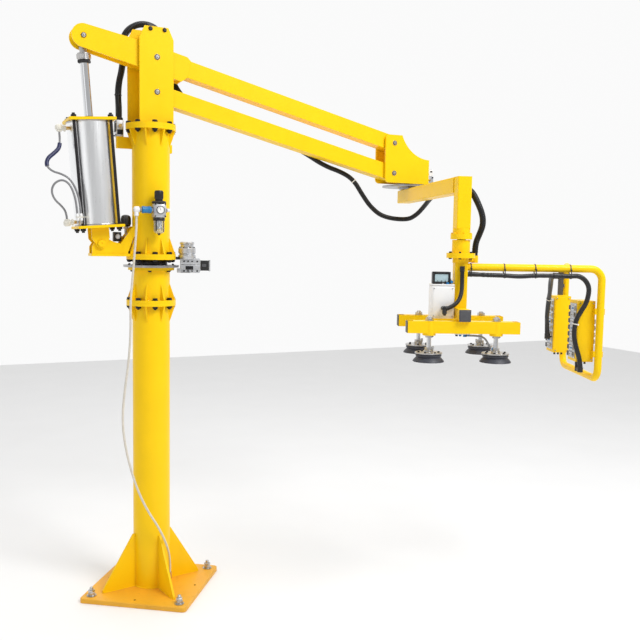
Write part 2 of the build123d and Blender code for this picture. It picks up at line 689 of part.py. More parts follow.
def cylinder():
    low = BARREL_START
    high = BARREL_START + BARREL_LENGTH
    half = END_PLATE / 2
    barrel = tube_piece(low, high, BARREL_OD, BARREL_WALL)
    save("cylinder_barrel", barrel, CYLINDER)

    with BuildPart() as top:
        with BuildSketch(Plane.XY.offset(high)):
            RectangleRounded(END_PLATE, END_PLATE, 6)
            Circle(ROD_OD / 2 + PIN_CLEAR, mode=Mode.SUBTRACT)
            with GridLocations(TIE_ROD_PITCH, TIE_ROD_PITCH, 2, 2):
                Circle(TIE_ROD_OD / 2, mode=Mode.SUBTRACT)
        extrude(amount=END_PLATE_THICK)
    save("cylinder_top_plate", top, CYLINDER)

    plate_low = low - END_PLATE_THICK
    with BuildPart() as foot:
        with BuildSketch(Plane.XY.offset(plate_low)):
            RectangleRounded(END_PLATE, END_PLATE, 6)
            with GridLocations(TIE_ROD_PITCH, TIE_ROD_PITCH, 2, 2):
                Circle(TIE_ROD_OD / 2, mode=Mode.SUBTRACT)
        extrude(amount=END_PLATE_THICK)
        for y_low in (-LUG_GAP / 2 - LUG_THICK, LUG_GAP / 2):
            with BuildSketch(Plane.XZ.offset(-y_low - LUG_THICK)):
                with BuildLine():
                    Polyline((-LUG_RADIUS, 0), (-LUG_WIDTH / 2, 26), (-LUG_WIDTH / 2, plate_low),
                             (LUG_WIDTH / 2, plate_low), (LUG_WIDTH / 2, 26), (LUG_RADIUS, 0))
                    ThreePointArc((LUG_RADIUS, 0), (0, -LUG_RADIUS), (-LUG_RADIUS, 0))
                make_face()
                Circle(LIFT_PIN_OD / 2 + PIN_CLEAR, mode=Mode.SUBTRACT)
            extrude(amount=LUG_THICK)
    save("cylinder_foot", foot, CYLINDER)

    with BuildPart() as rods:
        with BuildSketch(Plane.XY.offset(low - END_PLATE_THICK - 22)):
            with GridLocations(TIE_ROD_PITCH, TIE_ROD_PITCH, 2, 2):
                Circle(TIE_ROD_OD / 2)
        extrude(amount=BARREL_LENGTH + 2 * END_PLATE_THICK + 44)
    save("tie_rods", rods, CYLINDER)

    with BuildPart() as elbows:
        for z in elbow_heights():
            with BuildSketch(Plane(origin=(ELBOW_X, ELBOW_Y, z), x_dir=(0, 1, 0), z_dir=(1, 0, 0))):
                Circle(12)
            extrude(amount=-BARREL_OD / 2 - ELBOW_X + 12)
            with BuildSketch(Plane.XY.offset(z - 20)):
                with Locations((ELBOW_X, ELBOW_Y)):
                    Circle(20)
            extrude(amount=38)
        with BuildSketch(Plane.XY):
            Circle(BARREL_OD / 2)
        extrude(amount=BARREL_START + BARREL_LENGTH, mode=Mode.SUBTRACT)
        for start, end, radius in LIFT_FITTINGS:
            add(stub(start, end, radius))
    save("cylinder_fittings", elbows, CYLINDER)


def piston_rod():
    """Piston, rod and, above it, the collar and eye that meet the upper beam's tail."""
    high = BARREL_START + BARREL_LENGTH
    piston_top = high - PISTON_TOP_GAP
    collar_low = CYLINDER_LENGTH - EYE_RADIUS - 56 - COLLAR_LENGTH
    with BuildPart() as rod:
        with Locations((0, 0, piston_top)):
            Cylinder(BARREL_OD / 2 - BARREL_WALL - PIN_CLEAR, PISTON_HEIGHT,
                     align=(Align.CENTER, Align.CENTER, Align.MAX))
            Cylinder(ROD_OD / 2, collar_low - piston_top, align=(Align.CENTER, Align.CENTER, Align.MIN))
    save("piston_rod", rod, CYLINDER)

    with BuildPart() as eye:
        with Locations((0, 0, collar_low)):
            Cylinder(COLLAR_OD / 2, COLLAR_LENGTH, align=(Align.CENTER, Align.CENTER, Align.MIN))
        with Locations((0, 0, collar_low + COLLAR_LENGTH)):
            Cylinder(EYE_WIDTH / 2, 34, align=(Align.CENTER, Align.CENTER, Align.MIN))
        with BuildSketch(Plane.XZ.offset(-EYE_WIDTH / 2)):
            with Locations((0, CYLINDER_LENGTH)):
                Circle(EYE_RADIUS)
            with Locations((0, CYLINDER_LENGTH - EYE_RADIUS)):
                Rectangle(2 * EYE_WIDTH / 2, 2 * EYE_RADIUS)
        extrude(amount=EYE_WIDTH)
        with BuildSketch(Plane.XZ.offset(-EYE_WIDTH / 2)):
            with Locations((0, CYLINDER_LENGTH)):
                Circle(EYE_HOLE / 2)
        extrude(amount=EYE_WIDTH, mode=Mode.SUBTRACT)
    save("rod_eye", eye, CYLINDER)


def lift_pins():
    """Stub pins in the tail plates; the eye has room to wander between them."""
    with BuildPart() as pins:
        for y_low in (-BEAM_WIDTH / 2 - 3, BEAM_WIDTH / 2 - TAIL_PLATE + 2):
            with BuildSketch(Plane.XZ.offset(-y_low - TAIL_PLATE - 1)):
                with Locations((TAIL_X, TAIL_Z)):
                    Circle(LIFT_PIN_OD / 2)
            extrude(amount=TAIL_PLATE + 1)
    save("lift_pins", pins, BOOM)


# ---- forearm ---------------------------------------------------------------
def forearm():
    half = FOREARM_SECTION / 2
    inner = half - FOREARM_WALL
    low = FOREARM_TOP_Z - FOREARM_SECTION
    disc_low = FOREARM_TOP_Z + 12
    post_back = FOREARM_LENGTH - POST_SECTION / 2
    with BuildPart() as disc:
        with Locations((0, 0, FOREARM_TOP_Z)):
            Cylinder(60, 12, align=(Align.CENTER, Align.CENTER, Align.MIN))
        with Locations((0, 0, disc_low)):
            Cylinder(WRIST_DISC_OD / 2, WRIST_DISC_THICK, align=(Align.CENTER, Align.CENTER, Align.MIN))
        with Locations((0, 0, disc_low + WRIST_DISC_THICK)):
            Cylinder(WRIST_SPINDLE_OD / 2, WRIST_BEARING_HEIGHT + 8,
                     align=(Align.CENTER, Align.CENTER, Align.MIN))
    save("wrist_disc", disc, FOREARM)

    with BuildPart() as beam:
        with Locations(((post_back - FOREARM_BACK) / 2, 0, low)):
            Box(post_back + FOREARM_BACK, FOREARM_SECTION, FOREARM_SECTION,
                align=(Align.CENTER, Align.CENTER, Align.MIN))
        fillet(beam.edges().filter_by(Axis.X), 5)
        with BuildSketch(Plane.YZ.offset(-FOREARM_BACK + 6)):
            with Locations((0, low + half)):
                RectangleRounded(2 * inner, 2 * inner, 3)
        extrude(amount=post_back + FOREARM_BACK - 6, mode=Mode.SUBTRACT)
    save("forearm_beam", beam, FOREARM)

    with BuildPart() as post:
        with Locations((FOREARM_LENGTH, 0, FOREARM_TOP_Z)):
            Box(POST_SECTION, POST_SECTION, FOREARM_TOP_Z - POST_BOTTOM_Z,
                align=(Align.CENTER, Align.CENTER, Align.MAX))
        fillet(post.edges().filter_by(Axis.Z), 5)
        with Locations((FOREARM_LENGTH, 0, FOREARM_TOP_Z - 5)):
            Box(POST_SECTION - 10, POST_SECTION - 10, FOREARM_TOP_Z - POST_BOTTOM_Z,
                align=(Align.CENTER, Align.CENTER, Align.MAX), mode=Mode.SUBTRACT)
        with BuildSketch(Plane.XZ):
            with BuildLine():
                Polyline((post_back + 1, low), (post_back - 56, low), (post_back - 56, low - 6),
                         (post_back - 8, low - 56), (post_back + 1, low - 56), close=True)
            make_face()
        extrude(amount=5, both=True)
    save("forearm_post", post, FOREARM)

    with BuildPart() as collar:
        with Locations((FOREARM_LENGTH, 0, POST_BOTTOM_Z)):
            Cylinder(COLLAR_TOP_OD / 2, POST_BOTTOM_Z - COLLAR_RING_Z,
                     align=(Align.CENTER, Align.CENTER, Align.MAX))
        with Locations((FOREARM_LENGTH, 0, COLLAR_RING_Z)):
            Cylinder(COLLAR_RING_OD / 2, COLLAR_RING_Z - COLLAR_BOTTOM_Z,
                     align=(Align.CENTER, Align.CENTER, Align.MAX))
        with Locations((FOREARM_LENGTH, 0, COLLAR_BOTTOM_Z)):
            Cylinder(TOOL_SPINDLE_OD / 2, 70, align=(Align.CENTER, Align.CENTER, Align.MAX))
    save("tool_collar", collar, FOREARM)


# ---- vacuum tool -----------------------------------------------------------
def swivel_housing():
    with BuildPart() as housing:
        with Locations((0, 0, HOUSING_FLANGE_Z)):
            Cylinder(HOUSING_OD / 2, HOUSING_TOP_Z - HOUSING_FLANGE_Z,
                     align=(Align.CENTER, Align.CENTER, Align.MIN))
            Cylinder(HOUSING_FLANGE_OD / 2, HOUSING_FLANGE_THICK,
                     align=(Align.CENTER, Align.CENTER, Align.MIN))
            Cylinder(NECK_OD / 2, HOUSING_FLANGE_Z - NECK_BOTTOM_Z,
                     align=(Align.CENTER, Align.CENTER, Align.MAX))
        with Locations((0, 0, HOUSING_TOP_Z)):
            Hole(TOOL_SPINDLE_OD / 2 + PIN_CLEAR, 78)
        turn = radians(PORT_AZIMUTH - TOOL_AZIMUTH)
        out = (cos(turn), sin(turn), 0)
        with BuildSketch(Plane(origin=(0, 0, PORT_Z), x_dir=(0, 0, 1), z_dir=out)):
            Circle(10)
        extrude(amount=PORT_REACH)
        with BuildSketch(Plane.XY.offset(PORT_Z - 12)):
            with Locations((PORT_REACH * cos(turn), PORT_REACH * sin(turn))):
                Circle(18)
        extrude(amount=PORT_TOP_Z - PORT_Z + 12)
    save("swivel_housing", housing, TOOL)


def tool_frame():
    post_low = CROSS_Z + CROSS_SECTION
    with BuildPart() as post:
        with BuildSketch(Plane.XY.offset(post_low)):
            RectangleRounded(TOOL_POST, TOOL_POST, 5)
            RectangleRounded(TOOL_POST - 10, TOOL_POST - 10, 2, mode=Mode.SUBTRACT)
        extrude(amount=NECK_BOTTOM_Z - post_low)
    save("tool_post", post, TOOL)

    with BuildPart() as cross:
        with BuildSketch(Plane.XZ.offset(-CROSS_BACK)):
            with Locations((0, CROSS_Z + CROSS_SECTION / 2)):
                RectangleRounded(CROSS_SECTION, CROSS_SECTION, 5)
                RectangleRounded(CROSS_SECTION - 10, CROSS_SECTION - 10, 2, mode=Mode.SUBTRACT)
        extrude(amount=CROSS_BACK - CROSS_FRONT)
    save("cross_tube", cross, TOOL)


def cup_rows():
    return [CUP_CENTRE_Y - CUP_PITCH / 2, CUP_CENTRE_Y + CUP_PITCH / 2]


def cup_places():
    return [(side * CUP_PITCH / 2, y) for y in cup_rows() for side in (-1, 1)]


def cup_beams():
    section = CROSS_SECTION
    with BuildPart() as beams:
        for y in cup_rows():
            with Locations((0, y, CROSS_Z)):
                Box(CUP_BEAM_LENGTH, section, section, align=(Align.CENTER, Align.CENTER, Align.MAX))
                Box(CUP_BEAM_LENGTH, section - 10, section - 10, mode=Mode.SUBTRACT,
                    align=(Align.CENTER, Align.CENTER, Align.MAX))
        with BuildSketch(Plane.XY.offset(CROSS_Z)):
            for place in cup_places():
                with Locations(place):
                    Circle(SLEEVE_OD / 2)
        extrude(amount=-section - SLEEVE_DROP)
        for y in cup_rows():
            with Locations((0, y, CROSS_Z)):
                Box(CUP_BEAM_LENGTH - 60, section - 10, 5,
                    align=(Align.CENTER, Align.CENTER, Align.MAX))
        with BuildSketch(Plane.XY.offset(CROSS_Z)):
            for place in cup_places():
                with Locations(place):
                    Circle(STEM_OD / 2, mode=Mode.ADD)
        extrude(amount=-section - SLEEVE_DROP, mode=Mode.SUBTRACT)
    save("cup_beams", beams, TOOL)


def cup_stems():
    with BuildPart() as stems:
        for x, y in cup_places():
            with Locations((x, y, CUP_TOP_Z)):
                Cylinder(STEM_OD / 2, STEM_TOP_Z - CUP_TOP_Z, align=(Align.CENTER, Align.CENTER, Align.MIN))
            with Locations((x, y, CROSS_Z)):
                Cylinder(17, 14, align=(Align.CENTER, Align.CENTER, Align.MIN))
    save("cup_stems", stems, TOOL)


def suction_cups():
    with BuildPart() as cups:
        for x, y in cup_places():
            with BuildSketch(Plane.XZ.offset(-y)):
                with BuildLine():
                    low = CUP_TOP_Z - CUP_PLATE_THICK - CUP_HEIGHT
                    Polyline((x, CUP_TOP_Z), (x + CUP_PLATE_OD / 2, CUP_TOP_Z),
                             (x + CUP_PLATE_OD / 2, CUP_TOP_Z - CUP_PLATE_THICK),
                             (x + CUP_PLATE_OD / 2 - 8, CUP_TOP_Z - CUP_PLATE_THICK),
                             (x + CUP_LIP_OD / 2, low), (x + CUP_LIP_OD / 2 - 5, low),
                             (x + 48, low + 22), (x, low + 22), close=True)
                make_face()
            revolve(axis=Axis((x, y, 0), (0, 0, 1)))
    save("suction_cups", cups, TOOL)


def vacuum_unit():
    with BuildPart() as unit:
        with Locations((-TOOL_POST / 2 - 60, -12, 1600)):
            Box(116, 100, 171, align=(Align.CENTER, Align.CENTER, Align.MIN))
        with Locations((-TOOL_POST / 2, 0, 1690)):
            Box(4, 50, 60, align=(Align.MAX, Align.CENTER, Align.MIN))
        with Locations((-TOOL_POST / 2 - 68, -20, 1771)):
            Box(90, 44, 62, align=(Align.CENTER, Align.CENTER, Align.MIN))
    save("vacuum_unit", unit, TOOL)


def handle_frame():
    """Bent tube: out from the post, down, back and up, then a run home to the first run."""
    middle = (HANDLE_TOP_Z + HANDLE_BOTTOM_Z) / 2
    front = [(TOOL_POST / 2, 0, HANDLE_TOP_Z), (HANDLE_X, 0, HANDLE_TOP_Z), (HANDLE_X, 0, HANDLE_BOTTOM_Z),
             (HANDLE_X, HANDLE_DEPTH, HANDLE_BOTTOM_Z), (HANDLE_X, HANDLE_DEPTH, middle)]
    back = [(HANDLE_X, HANDLE_DEPTH, middle), (HANDLE_X, HANDLE_DEPTH, HANDLE_TOP_Z),
            (HANDLE_RETURN_X, 0, HANDLE_TOP_Z)]
    with BuildPart() as handle:
        for radius, mode in ((HANDLE_OD / 2, Mode.ADD), (HANDLE_OD / 2 - HANDLE_WALL, Mode.SUBTRACT)):
            for route, facing in ((front, (1, 0, 0)), (back, (0, 0, 1))):
                with BuildLine() as path:
                    FilletPolyline(*route, radius=HANDLE_BEND)
                with BuildSketch(Plane(origin=route[0], z_dir=facing)):
                    Circle(radius)
                sweep(path=path.line, mode=mode)
    save("handle_frame", handle, TOOL)


def control_boxes():
    """Two valve housings, each clamped at two heights to an upright of the handle frame."""
    with BuildPart() as boxes:
        for box_y, tube_y, clamp_y in ((BOX_INSET, 0, BOX_INSET / 2 - 2),
                                       (HANDLE_DEPTH - BOX_INSET - BOX_DEPTH, HANDLE_DEPTH,
                                        HANDLE_DEPTH - BOX_INSET / 2 + 2)):
            with Locations((BOX_X, box_y + BOX_DEPTH / 2, BOX_TOP_Z)):
                Box(BOX_WIDTH, BOX_DEPTH, BOX_HEIGHT, align=(Align.CENTER, Align.CENTER, Align.MAX))
            for z in CLAMP_HEIGHTS:
                with Locations((HANDLE_X - 3, clamp_y, z)):
                    Box(50, BOX_INSET + 4, CLAMP_DEPTH, align=(Align.CENTER, Align.CENTER, Align.CENTER))
            with BuildSketch(Plane.XY.offset(HANDLE_BOTTOM_Z)):
                with Locations((HANDLE_X, tube_y)):
                    Circle(HANDLE_OD / 2)
            extrude(amount=HANDLE_TOP_Z - HANDLE_BOTTOM_Z, mode=Mode.SUBTRACT)
    save("control_boxes", boxes, TOOL)


# ---- hoses -----------------------------------------------------------------
SUPPLY_ROUTE = [(-116, -154, 2091), (-116, -154, 2030), (-125, -158, 1925), (-138, -165, 1790),
                (-154, -170, 1640), (-153, -174, 1480), (-166, -178, 1320), (-190, -181, 1160),
                (-203, -182, 1010), (-186, -180, 860), (-152, -176, 720), (-110, -172, 595),
                (-60, -166, 490), (-5, -158, 400), (38, -146, 310), (66, -122, 230),
                (INLET_X, INLET_Y, 165), (INLET_X, INLET_Y, INLET_Z + INLET_SOCKET)]
HEAD_ROUTE = [(-153, 90, 2610), (-153, 90, 2665), (-158, 94, 2740), (-151, 96, 2810), (-134, 97, 2880),
              (-127, 98, 2970), (-127, 98, 3069), (-58, 98, 3138), (40, 98, 3138), (109, 98, 3069),
              (112, 97, 2985), (131, 96, 2895), (162, 93, 2815), (212, 86, 2750), (282, 76, 2702),
              (381, 71, 2674)]
ARM_ROUTE = [(381, 71, 2674), (480, 66, 2646), (640, 64, 2610), (800, 64, 2565), (940, 63, 2505),
             (1075, 59, 2432), (1190, 38, 2396), (1262, 24, 2352), (1315, 12, 2268), (1372, 0, 2190),
             (1455, -14, 2130), (1527.5, -36, 2123)]
WRIST_ROUTE = [(1527.5, -36, 2123), (1600, -58, 2116), (1636, -110, 2148), (1648, -172, 2196),
               (1636, -250, 2236), (1607, -350, 2262), (1573, -460, 2266), (1538, -580, 2258),
               (1501, -700, 2264), (1464, -815, 2270), (1428, -925, 2266), (1406, -986.5, 2246)]
POST_ROUTE = [(1406, -986.5, 2246), (1392.8, -1023.4, 2234), (1384, -1058, 2212), (1383, -1090, 2176),
              (1396, -1110, 2124), (1411, -1100, 2072), (1414, -1068, 2024), (PORT_X, PORT_Y, 1974),
              (PORT_X, PORT_Y, PORT_TOP_Z)]
# in the tool's own frame
LOOM_ROUTE = [(44, -16, 1822), (120, -17, 1819), (222, -20, 1818), (300, -21, 1813),
              (380, -20, 1821), (470, -20, 1820)]
NEAR_BOX_ROUTE = [(500, -20, 1820), (550, -21, 1818), (600, -20, 1823), (637, -19, 1801), (658, -17, 1764),
                  (658, -11, 1721), (650, -4, 1680), (629, 1, 1642), (607, 4, 1600), (599, 5, 1552),
                  (600, 5, 1505), (610, 4, 1461), (624, 4, 1420), (635, 6, 1386), (640, 8, 1350)]
FAR_BOX_ROUTE = [(485, -2, 1820), (487, 45, 1818), (500, 105, 1801), (519, 170, 1768), (538, 235, 1727),
                 (554, 300, 1680), (567, 352, 1627), (577, 395, 1573), (591, 428, 1524), (594, 430, 1478)]
TANK_ROUTE = [(0, -50, 1836), (0, -54, 1785), (-2, -64, 1738), (-14, -76, 1698), (-40, -86, 1668),
              (-78, -92, 1652)]
CUP_ROUTE = [(20, -107, 1521), (80, -107, 1520), (108, -107, 1511), (125, -107, 1490),
             (134, -107, 1468), (148, -107, 1457)]
# in the lift cylinder's own frame
UPPER_ROUTE = [(-163, -40, 580), (-163, -40, 538), (-173, -57, 497), (-205, -76, 470), (-240, -90, 444),
               (-250, -100, 408), (-226, -112, 378), (-184, -122, 364), (-146, -129, 340),
               (-120, -131, 290), (-105, -130, 222), (-105, -130, 160)]
LOWER_ROUTE = [(-163, -40, 136), (-163, -40, 172), (-188, -58, 206), (-221, -77, 236), (-237, -94, 280),
               (-220, -108, 320), (-182, -121, 336), (-150, -132, 314), (-133, -135, 268),
               (-124, -134, 214), (-124, -134, 160)]
# each fitting as its two ends and its radius
TOOL_FITTINGS = [((32.5, -16, 1822), (44, -16, 1822), 14), ((470, -20, 1820), (500, -20, 1820), 16),
                 ((485, -20, 1820), (485, -2, 1820), 14), ((640, 8, 1350), (640, 8, 1326), 15),
                 ((640, 8, 1338), (640, 60, 1338), 10), ((640, 60, 1325), (640, 60, 1376), 11),
                 ((622, 430, 1462), (594, 430, 1462), 10), ((594, 430, 1450), (594, 430, 1478), 15),
                 ((0, -32.5, 1850), (0, -50, 1850), 10), ((0, -50, 1862), (0, -50, 1836), 13),
                 ((-94, -62, 1652), (-94, -104, 1652), 11), ((-94, -92, 1652), (-78, -92, 1652), 13),
                 ((10, -107, 1532), (10, -107, 1514), 8), ((10, -107, 1521), (20, -107, 1521), 7),
                 ((148, -107, 1457), (160, -107, 1448), 7)]
LIFT_FITTINGS = [((-105, -130, 160), (-105, -130, 124), 8), ((-124, -134, 160), (-124, -134, 124), 8),
                 ((-105, -130, 142), (-124, -134, 142), 6), ((-97, -101.5, 142), (-105, -130, 142), 5)]


def stub(start, end, radius):
    """A round stub between two points."""
    along = Vector(*end) - Vector(*start)
    return Solid.make_cylinder(radius, along.length, Plane(origin=start, z_dir=along))


def hose_radii(points):
    """Arc radius at each inner corner, from its shorter run and its turn."""
    radii = []
    for before, corner, after in zip(points, points[1:], points[2:]):
        run_in = Vector(*corner) - Vector(*before)
        run_out = Vector(*after) - Vector(*corner)
        turn = radians(run_in.get_angle(run_out))
        radii.append(RUN_SHARE * min(run_in.length, run_out.length) / tan(turn / 2))
    return radii


def hose_node(name, hoses, where=ROW):
    """Hoses of one node: straight runs and tangent arcs swept with a round section."""
    expected = 0
    with BuildPart() as tubes:
        for points, outer in hoses:
            radii = hose_radii(points)
            with BuildLine() as path:
                FilletPolyline(*points, radius=radii)
            with BuildSketch(Plane(origin=points[0], z_dir=Vector(*points[1]) - Vector(*points[0]))):
                Circle(outer / 2)
            sweep(path=path.line)
            length = sum(edge.length for edge in path.line.edges())
            expected += length * pi * outer ** 2 / 4
            print(name, "length", round(length), "least radius", round(min(radii)),
                  "in diameters", round(min(radii) / outer, 1))
    print(name, "volume against section times length", round(tubes.part.volume / expected, 4))
    save(name, tubes, where)


def tool_fittings():
    with BuildPart() as fittings:
        for start, end, radius in TOOL_FITTINGS:
            add(stub(start, end, radius))
        with BuildSketch(Plane.XY.offset(CUP_TOP_Z)):
            with Locations((CUP_PITCH / 2, cup_rows()[0])):
                Circle(STEM_OD / 2)
        extrude(amount=60, mode=Mode.SUBTRACT)
    save("tool_fittings", fittings, TOOL)


def hoses():
    hose_node("supply_hose", [(SUPPLY_ROUTE, SUPPLY_OD)])
    hose_node("head_hose", [(HEAD_ROUTE, BUNDLE_OD)])
    hose_node("arm_hose", [(ARM_ROUTE, ARM_HOSE_OD)])
    hose_node("wrist_hose", [(WRIST_ROUTE, ARM_HOSE_OD)])
    hose_node("post_hose", [(POST_ROUTE, POST_HOSE_OD)])
    hose_node("cylinder_hoses", [(UPPER_ROUTE, LIFT_HOSE_OD), (LOWER_ROUTE, LIFT_HOSE_OD)], CYLINDER)
    hose_node("tool_hoses", [(LOOM_ROUTE, LOOM_OD), (NEAR_BOX_ROUTE, BRANCH_OD),
                             (FAR_BOX_ROUTE, BRANCH_OD), (TANK_ROUTE, TANK_HOSE_OD),
                             (CUP_ROUTE, CUP_HOSE_OD)], TOOL)
    tool_fittings()


def main():
    base_plate()
    base_gussets()
    save("lower_column", tube_piece(PLATE_THICK, COLUMN_JOINT_Z - FLANGE_THICK, COLUMN_OD, COLUMN_WALL))
    bore = COLUMN_OD - 2 * COLUMN_WALL
    save("column_flange", ring_piece(COLUMN_JOINT_Z - FLANGE_THICK, FLANGE_THICK, bore))
    save("spool_flange", ring_piece(COLUMN_JOINT_Z, FLANGE_THICK, bore))
    save_ribs("column_ribs", [(COLUMN_JOINT_Z - FLANGE_THICK, -1), (COLUMN_JOINT_Z + FLANGE_THICK, 1)])
    spool()
    supply_inlet()
    brake_disc()
    swivel_spindle()
    foot_plate()
    save("turret_tube", tube_piece(TUBE_Z, HEAD_JOINT_Z - FLANGE_THICK, COLUMN_OD, COLUMN_WALL))
    save_ribs("turret_ribs", [(TUBE_Z, 1), (HEAD_JOINT_Z - FLANGE_THICK, -1)])
    save("turret_flange", ring_piece(HEAD_JOINT_Z - FLANGE_THICK, FLANGE_THICK, bore))
    save("head_flange", ring_piece(HEAD_JOINT_Z, FLANGE_THICK, bore))
    head_plate("head_plate_front", HEAD_LEFT, -CHEEK_OUT)
    head_plate("head_plate_rear", HEAD_LEFT_REAR, CHEEK_GAP / 2)
    turret_pins()
    cylinder_bracket()
    valve_bracket()
    filter_regulator()
    column_brake()
    boom()
    lift_pins()
    link()
    wrist_plates()
    wrist_floor()
    wrist_pins()
    wrist_brake()
    cylinder()
    piston_rod()
    forearm()
    swivel_housing()
    tool_frame()
    cup_beams()
    cup_stems()
    suction_cups()
    vacuum_unit()
    handle_frame()
    control_boxes()
    hoses()


main()
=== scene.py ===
"""Pneumatic manipulator arm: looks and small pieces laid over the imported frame."""
import bpy
import bmesh
from math import cos, pi, radians, sin
from mathutils import Matrix, Vector


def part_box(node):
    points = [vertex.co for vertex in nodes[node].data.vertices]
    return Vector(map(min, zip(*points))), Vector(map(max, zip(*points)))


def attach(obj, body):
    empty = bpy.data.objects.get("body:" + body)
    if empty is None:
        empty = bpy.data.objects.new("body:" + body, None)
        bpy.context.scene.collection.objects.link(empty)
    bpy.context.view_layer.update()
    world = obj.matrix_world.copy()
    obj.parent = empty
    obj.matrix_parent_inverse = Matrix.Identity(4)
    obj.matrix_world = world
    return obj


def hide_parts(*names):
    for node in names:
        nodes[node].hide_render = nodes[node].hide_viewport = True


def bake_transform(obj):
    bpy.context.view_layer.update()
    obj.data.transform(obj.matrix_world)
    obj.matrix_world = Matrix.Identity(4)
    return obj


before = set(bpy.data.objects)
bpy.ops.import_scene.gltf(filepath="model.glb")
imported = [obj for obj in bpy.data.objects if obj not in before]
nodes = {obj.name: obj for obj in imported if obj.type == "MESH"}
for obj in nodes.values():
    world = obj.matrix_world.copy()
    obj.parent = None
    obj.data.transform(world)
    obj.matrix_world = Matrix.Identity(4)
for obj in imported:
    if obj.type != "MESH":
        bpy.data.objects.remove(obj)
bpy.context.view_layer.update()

# Frames of the bodies, in metres.
WRIST_X = 1.64257
ROW = Matrix.Identity(4)
CYLINDER = Matrix.Translation((-0.28, 0, 1.944)) @ Matrix.Rotation(radians(-4.2814), 4, "Y")
WRIST = Matrix.Translation((WRIST_X, 0, 0))
FOREARM = WRIST @ Matrix.Rotation(radians(-107.3), 4, "Z")
TOOL = Matrix.Translation((1.31515, -1.05119, 0)) @ Matrix.Rotation(radians(-23.4), 4, "Z")
BRAKE = Matrix.Rotation(radians(-14), 4, "Z")
FILTER = Matrix.Translation((0.004, -0.154, 2.122))

FLANGE_BOLT_RADIUS = 0.119
GUSSET_AZIMUTHS = (10, -80, -170, 100)
ANCHOR_RADIUS = 0.354
LEVEL_RADIUS = 0.255
CUP_REACH = 0.1675
CUP_ROWS = (0.061 - CUP_REACH, 0.061 + CUP_REACH)
CLAMP_HEIGHTS = (1.4345, 1.6395)  # the box clamps, where no valve fits


def placed(name, data):
    """A new object in the scene."""
    made = bpy.data.objects.new(name, data)
    bpy.context.scene.collection.objects.link(made)
    return made


# ---- camera ----
camera_data = bpy.data.cameras.new("camera")
camera_data.lens = 46.69
camera_data.sensor_width = 36
camera_data.clip_end = 100
camera = placed("camera", camera_data)
camera.matrix_world = Matrix(((0.90247, 0.02504, -0.43002, -1.1352),
                              (-0.43042, 0.09155, -0.89797, -4.5368),
                              (0.01688, 0.99549, 0.0934, 1.97),
                              (0, 0, 0, 1)))
bpy.context.scene.camera = camera


# ---- materials ----
def look(name, colour, rough=0.4, metal=0.0, vary=0.08, scale=9.0, bump=0.1, grain=260.0,
         stretch=(1, 1, 1), rim=0.0, coat=0.0, clear=0.0, dust=0.0, shine=0.5):
    """A surface with mottled colour and gloss, fine grain and softened rims."""
    material = bpy.data.materials.new(name)
    material.use_nodes = True
    tree = material.node_tree
    shader = tree.nodes["Principled BSDF"]

    def node(kind, **inputs):
        made = tree.nodes.new(kind)
        for key, value in inputs.items():
            made.inputs[key.replace("_", " ")].default_value = value
        return made

    place = node("ShaderNodeTexCoord")
    mapping = node("ShaderNodeMapping", Scale=stretch)
    tree.links.new(place.outputs["Object"], mapping.inputs["Vector"])

    def noise(size, detail, rough_share):
        made = node("ShaderNodeTexNoise", Scale=size, Detail=detail, Roughness=rough_share)
        tree.links.new(mapping.outputs["Vector"], made.inputs["Vector"])
        return made.outputs["Fac"]

    def ramp(source, low, high, start=0.3, stop=0.7):
        made = tree.nodes.new("ShaderNodeValToRGB")
        made.color_ramp.elements[0].position = start
        made.color_ramp.elements[1].position = stop
        made.color_ramp.elements[0].color = (*low, 1)
        made.color_ramp.elements[1].color = (*high, 1)
        tree.links.new(source, made.inputs["Fac"])
        return made.outputs["Color"]

    low = [c * (1 - vary) for c in colour]
    high = [min(1, c * (1 + vary)) for c in colour]
    surface = ramp(noise(scale, 5, 0.6), low, high)
    if dust:
        grime = ramp(noise(scale * 3.1, 9, 0.72), (0, 0, 0), (1, 1, 1), 0.56, 0.74)
        mix = node("ShaderNodeMix")
        mix.data_type = "RGBA"
        mix.inputs[7].default_value = (colour[0] * 0.45, colour[1] * 0.42, colour[2] * 0.5 + 0.02, 1)
        fade = node("ShaderNodeMath")
        fade.operation = "MULTIPLY"
        fade.inputs[1].default_value = dust
        tree.links.new(grime, fade.inputs[0])
        tree.links.new(fade.outputs[0], mix.inputs[0])
        tree.links.new(surface, mix.inputs[6])
        surface = mix.outputs[2]
    tree.links.new(surface, shader.inputs["Base Color"])
    spread = min(0.5, rough * 0.3)
    gloss = node("ShaderNodeMapRange", To_Min=max(0.02, rough - spread), To_Max=rough + spread)
    tree.links.new(noise(scale * 4, 6, 0.65), gloss.inputs["Value"])
    tree.links.new(gloss.outputs[0], shader.inputs["Roughness"])
    relief = node("ShaderNodeBump", Strength=bump, Distance=0.001)
    tree.links.new(noise(grain, 3, 0.5), relief.inputs["Height"])
    if rim:
        soft = tree.nodes.new("ShaderNodeBevel")
        soft.samples = 4
        soft.inputs["Radius"].default_value = rim
        tree.links.new(soft.outputs["Normal"], relief.inputs["Normal"])
    tree.links.new(relief.outputs["Normal"], shader.inputs["Normal"])
    shader.inputs["Metallic"].default_value = metal
    shader.inputs["Coat Weight"].default_value = coat
    shader.inputs["Coat Roughness"].default_value = 0.08
    shader.inputs["Specular IOR Level"].default_value = shine
    shader.inputs["Transmission Weight"].default_value = clear
    return material


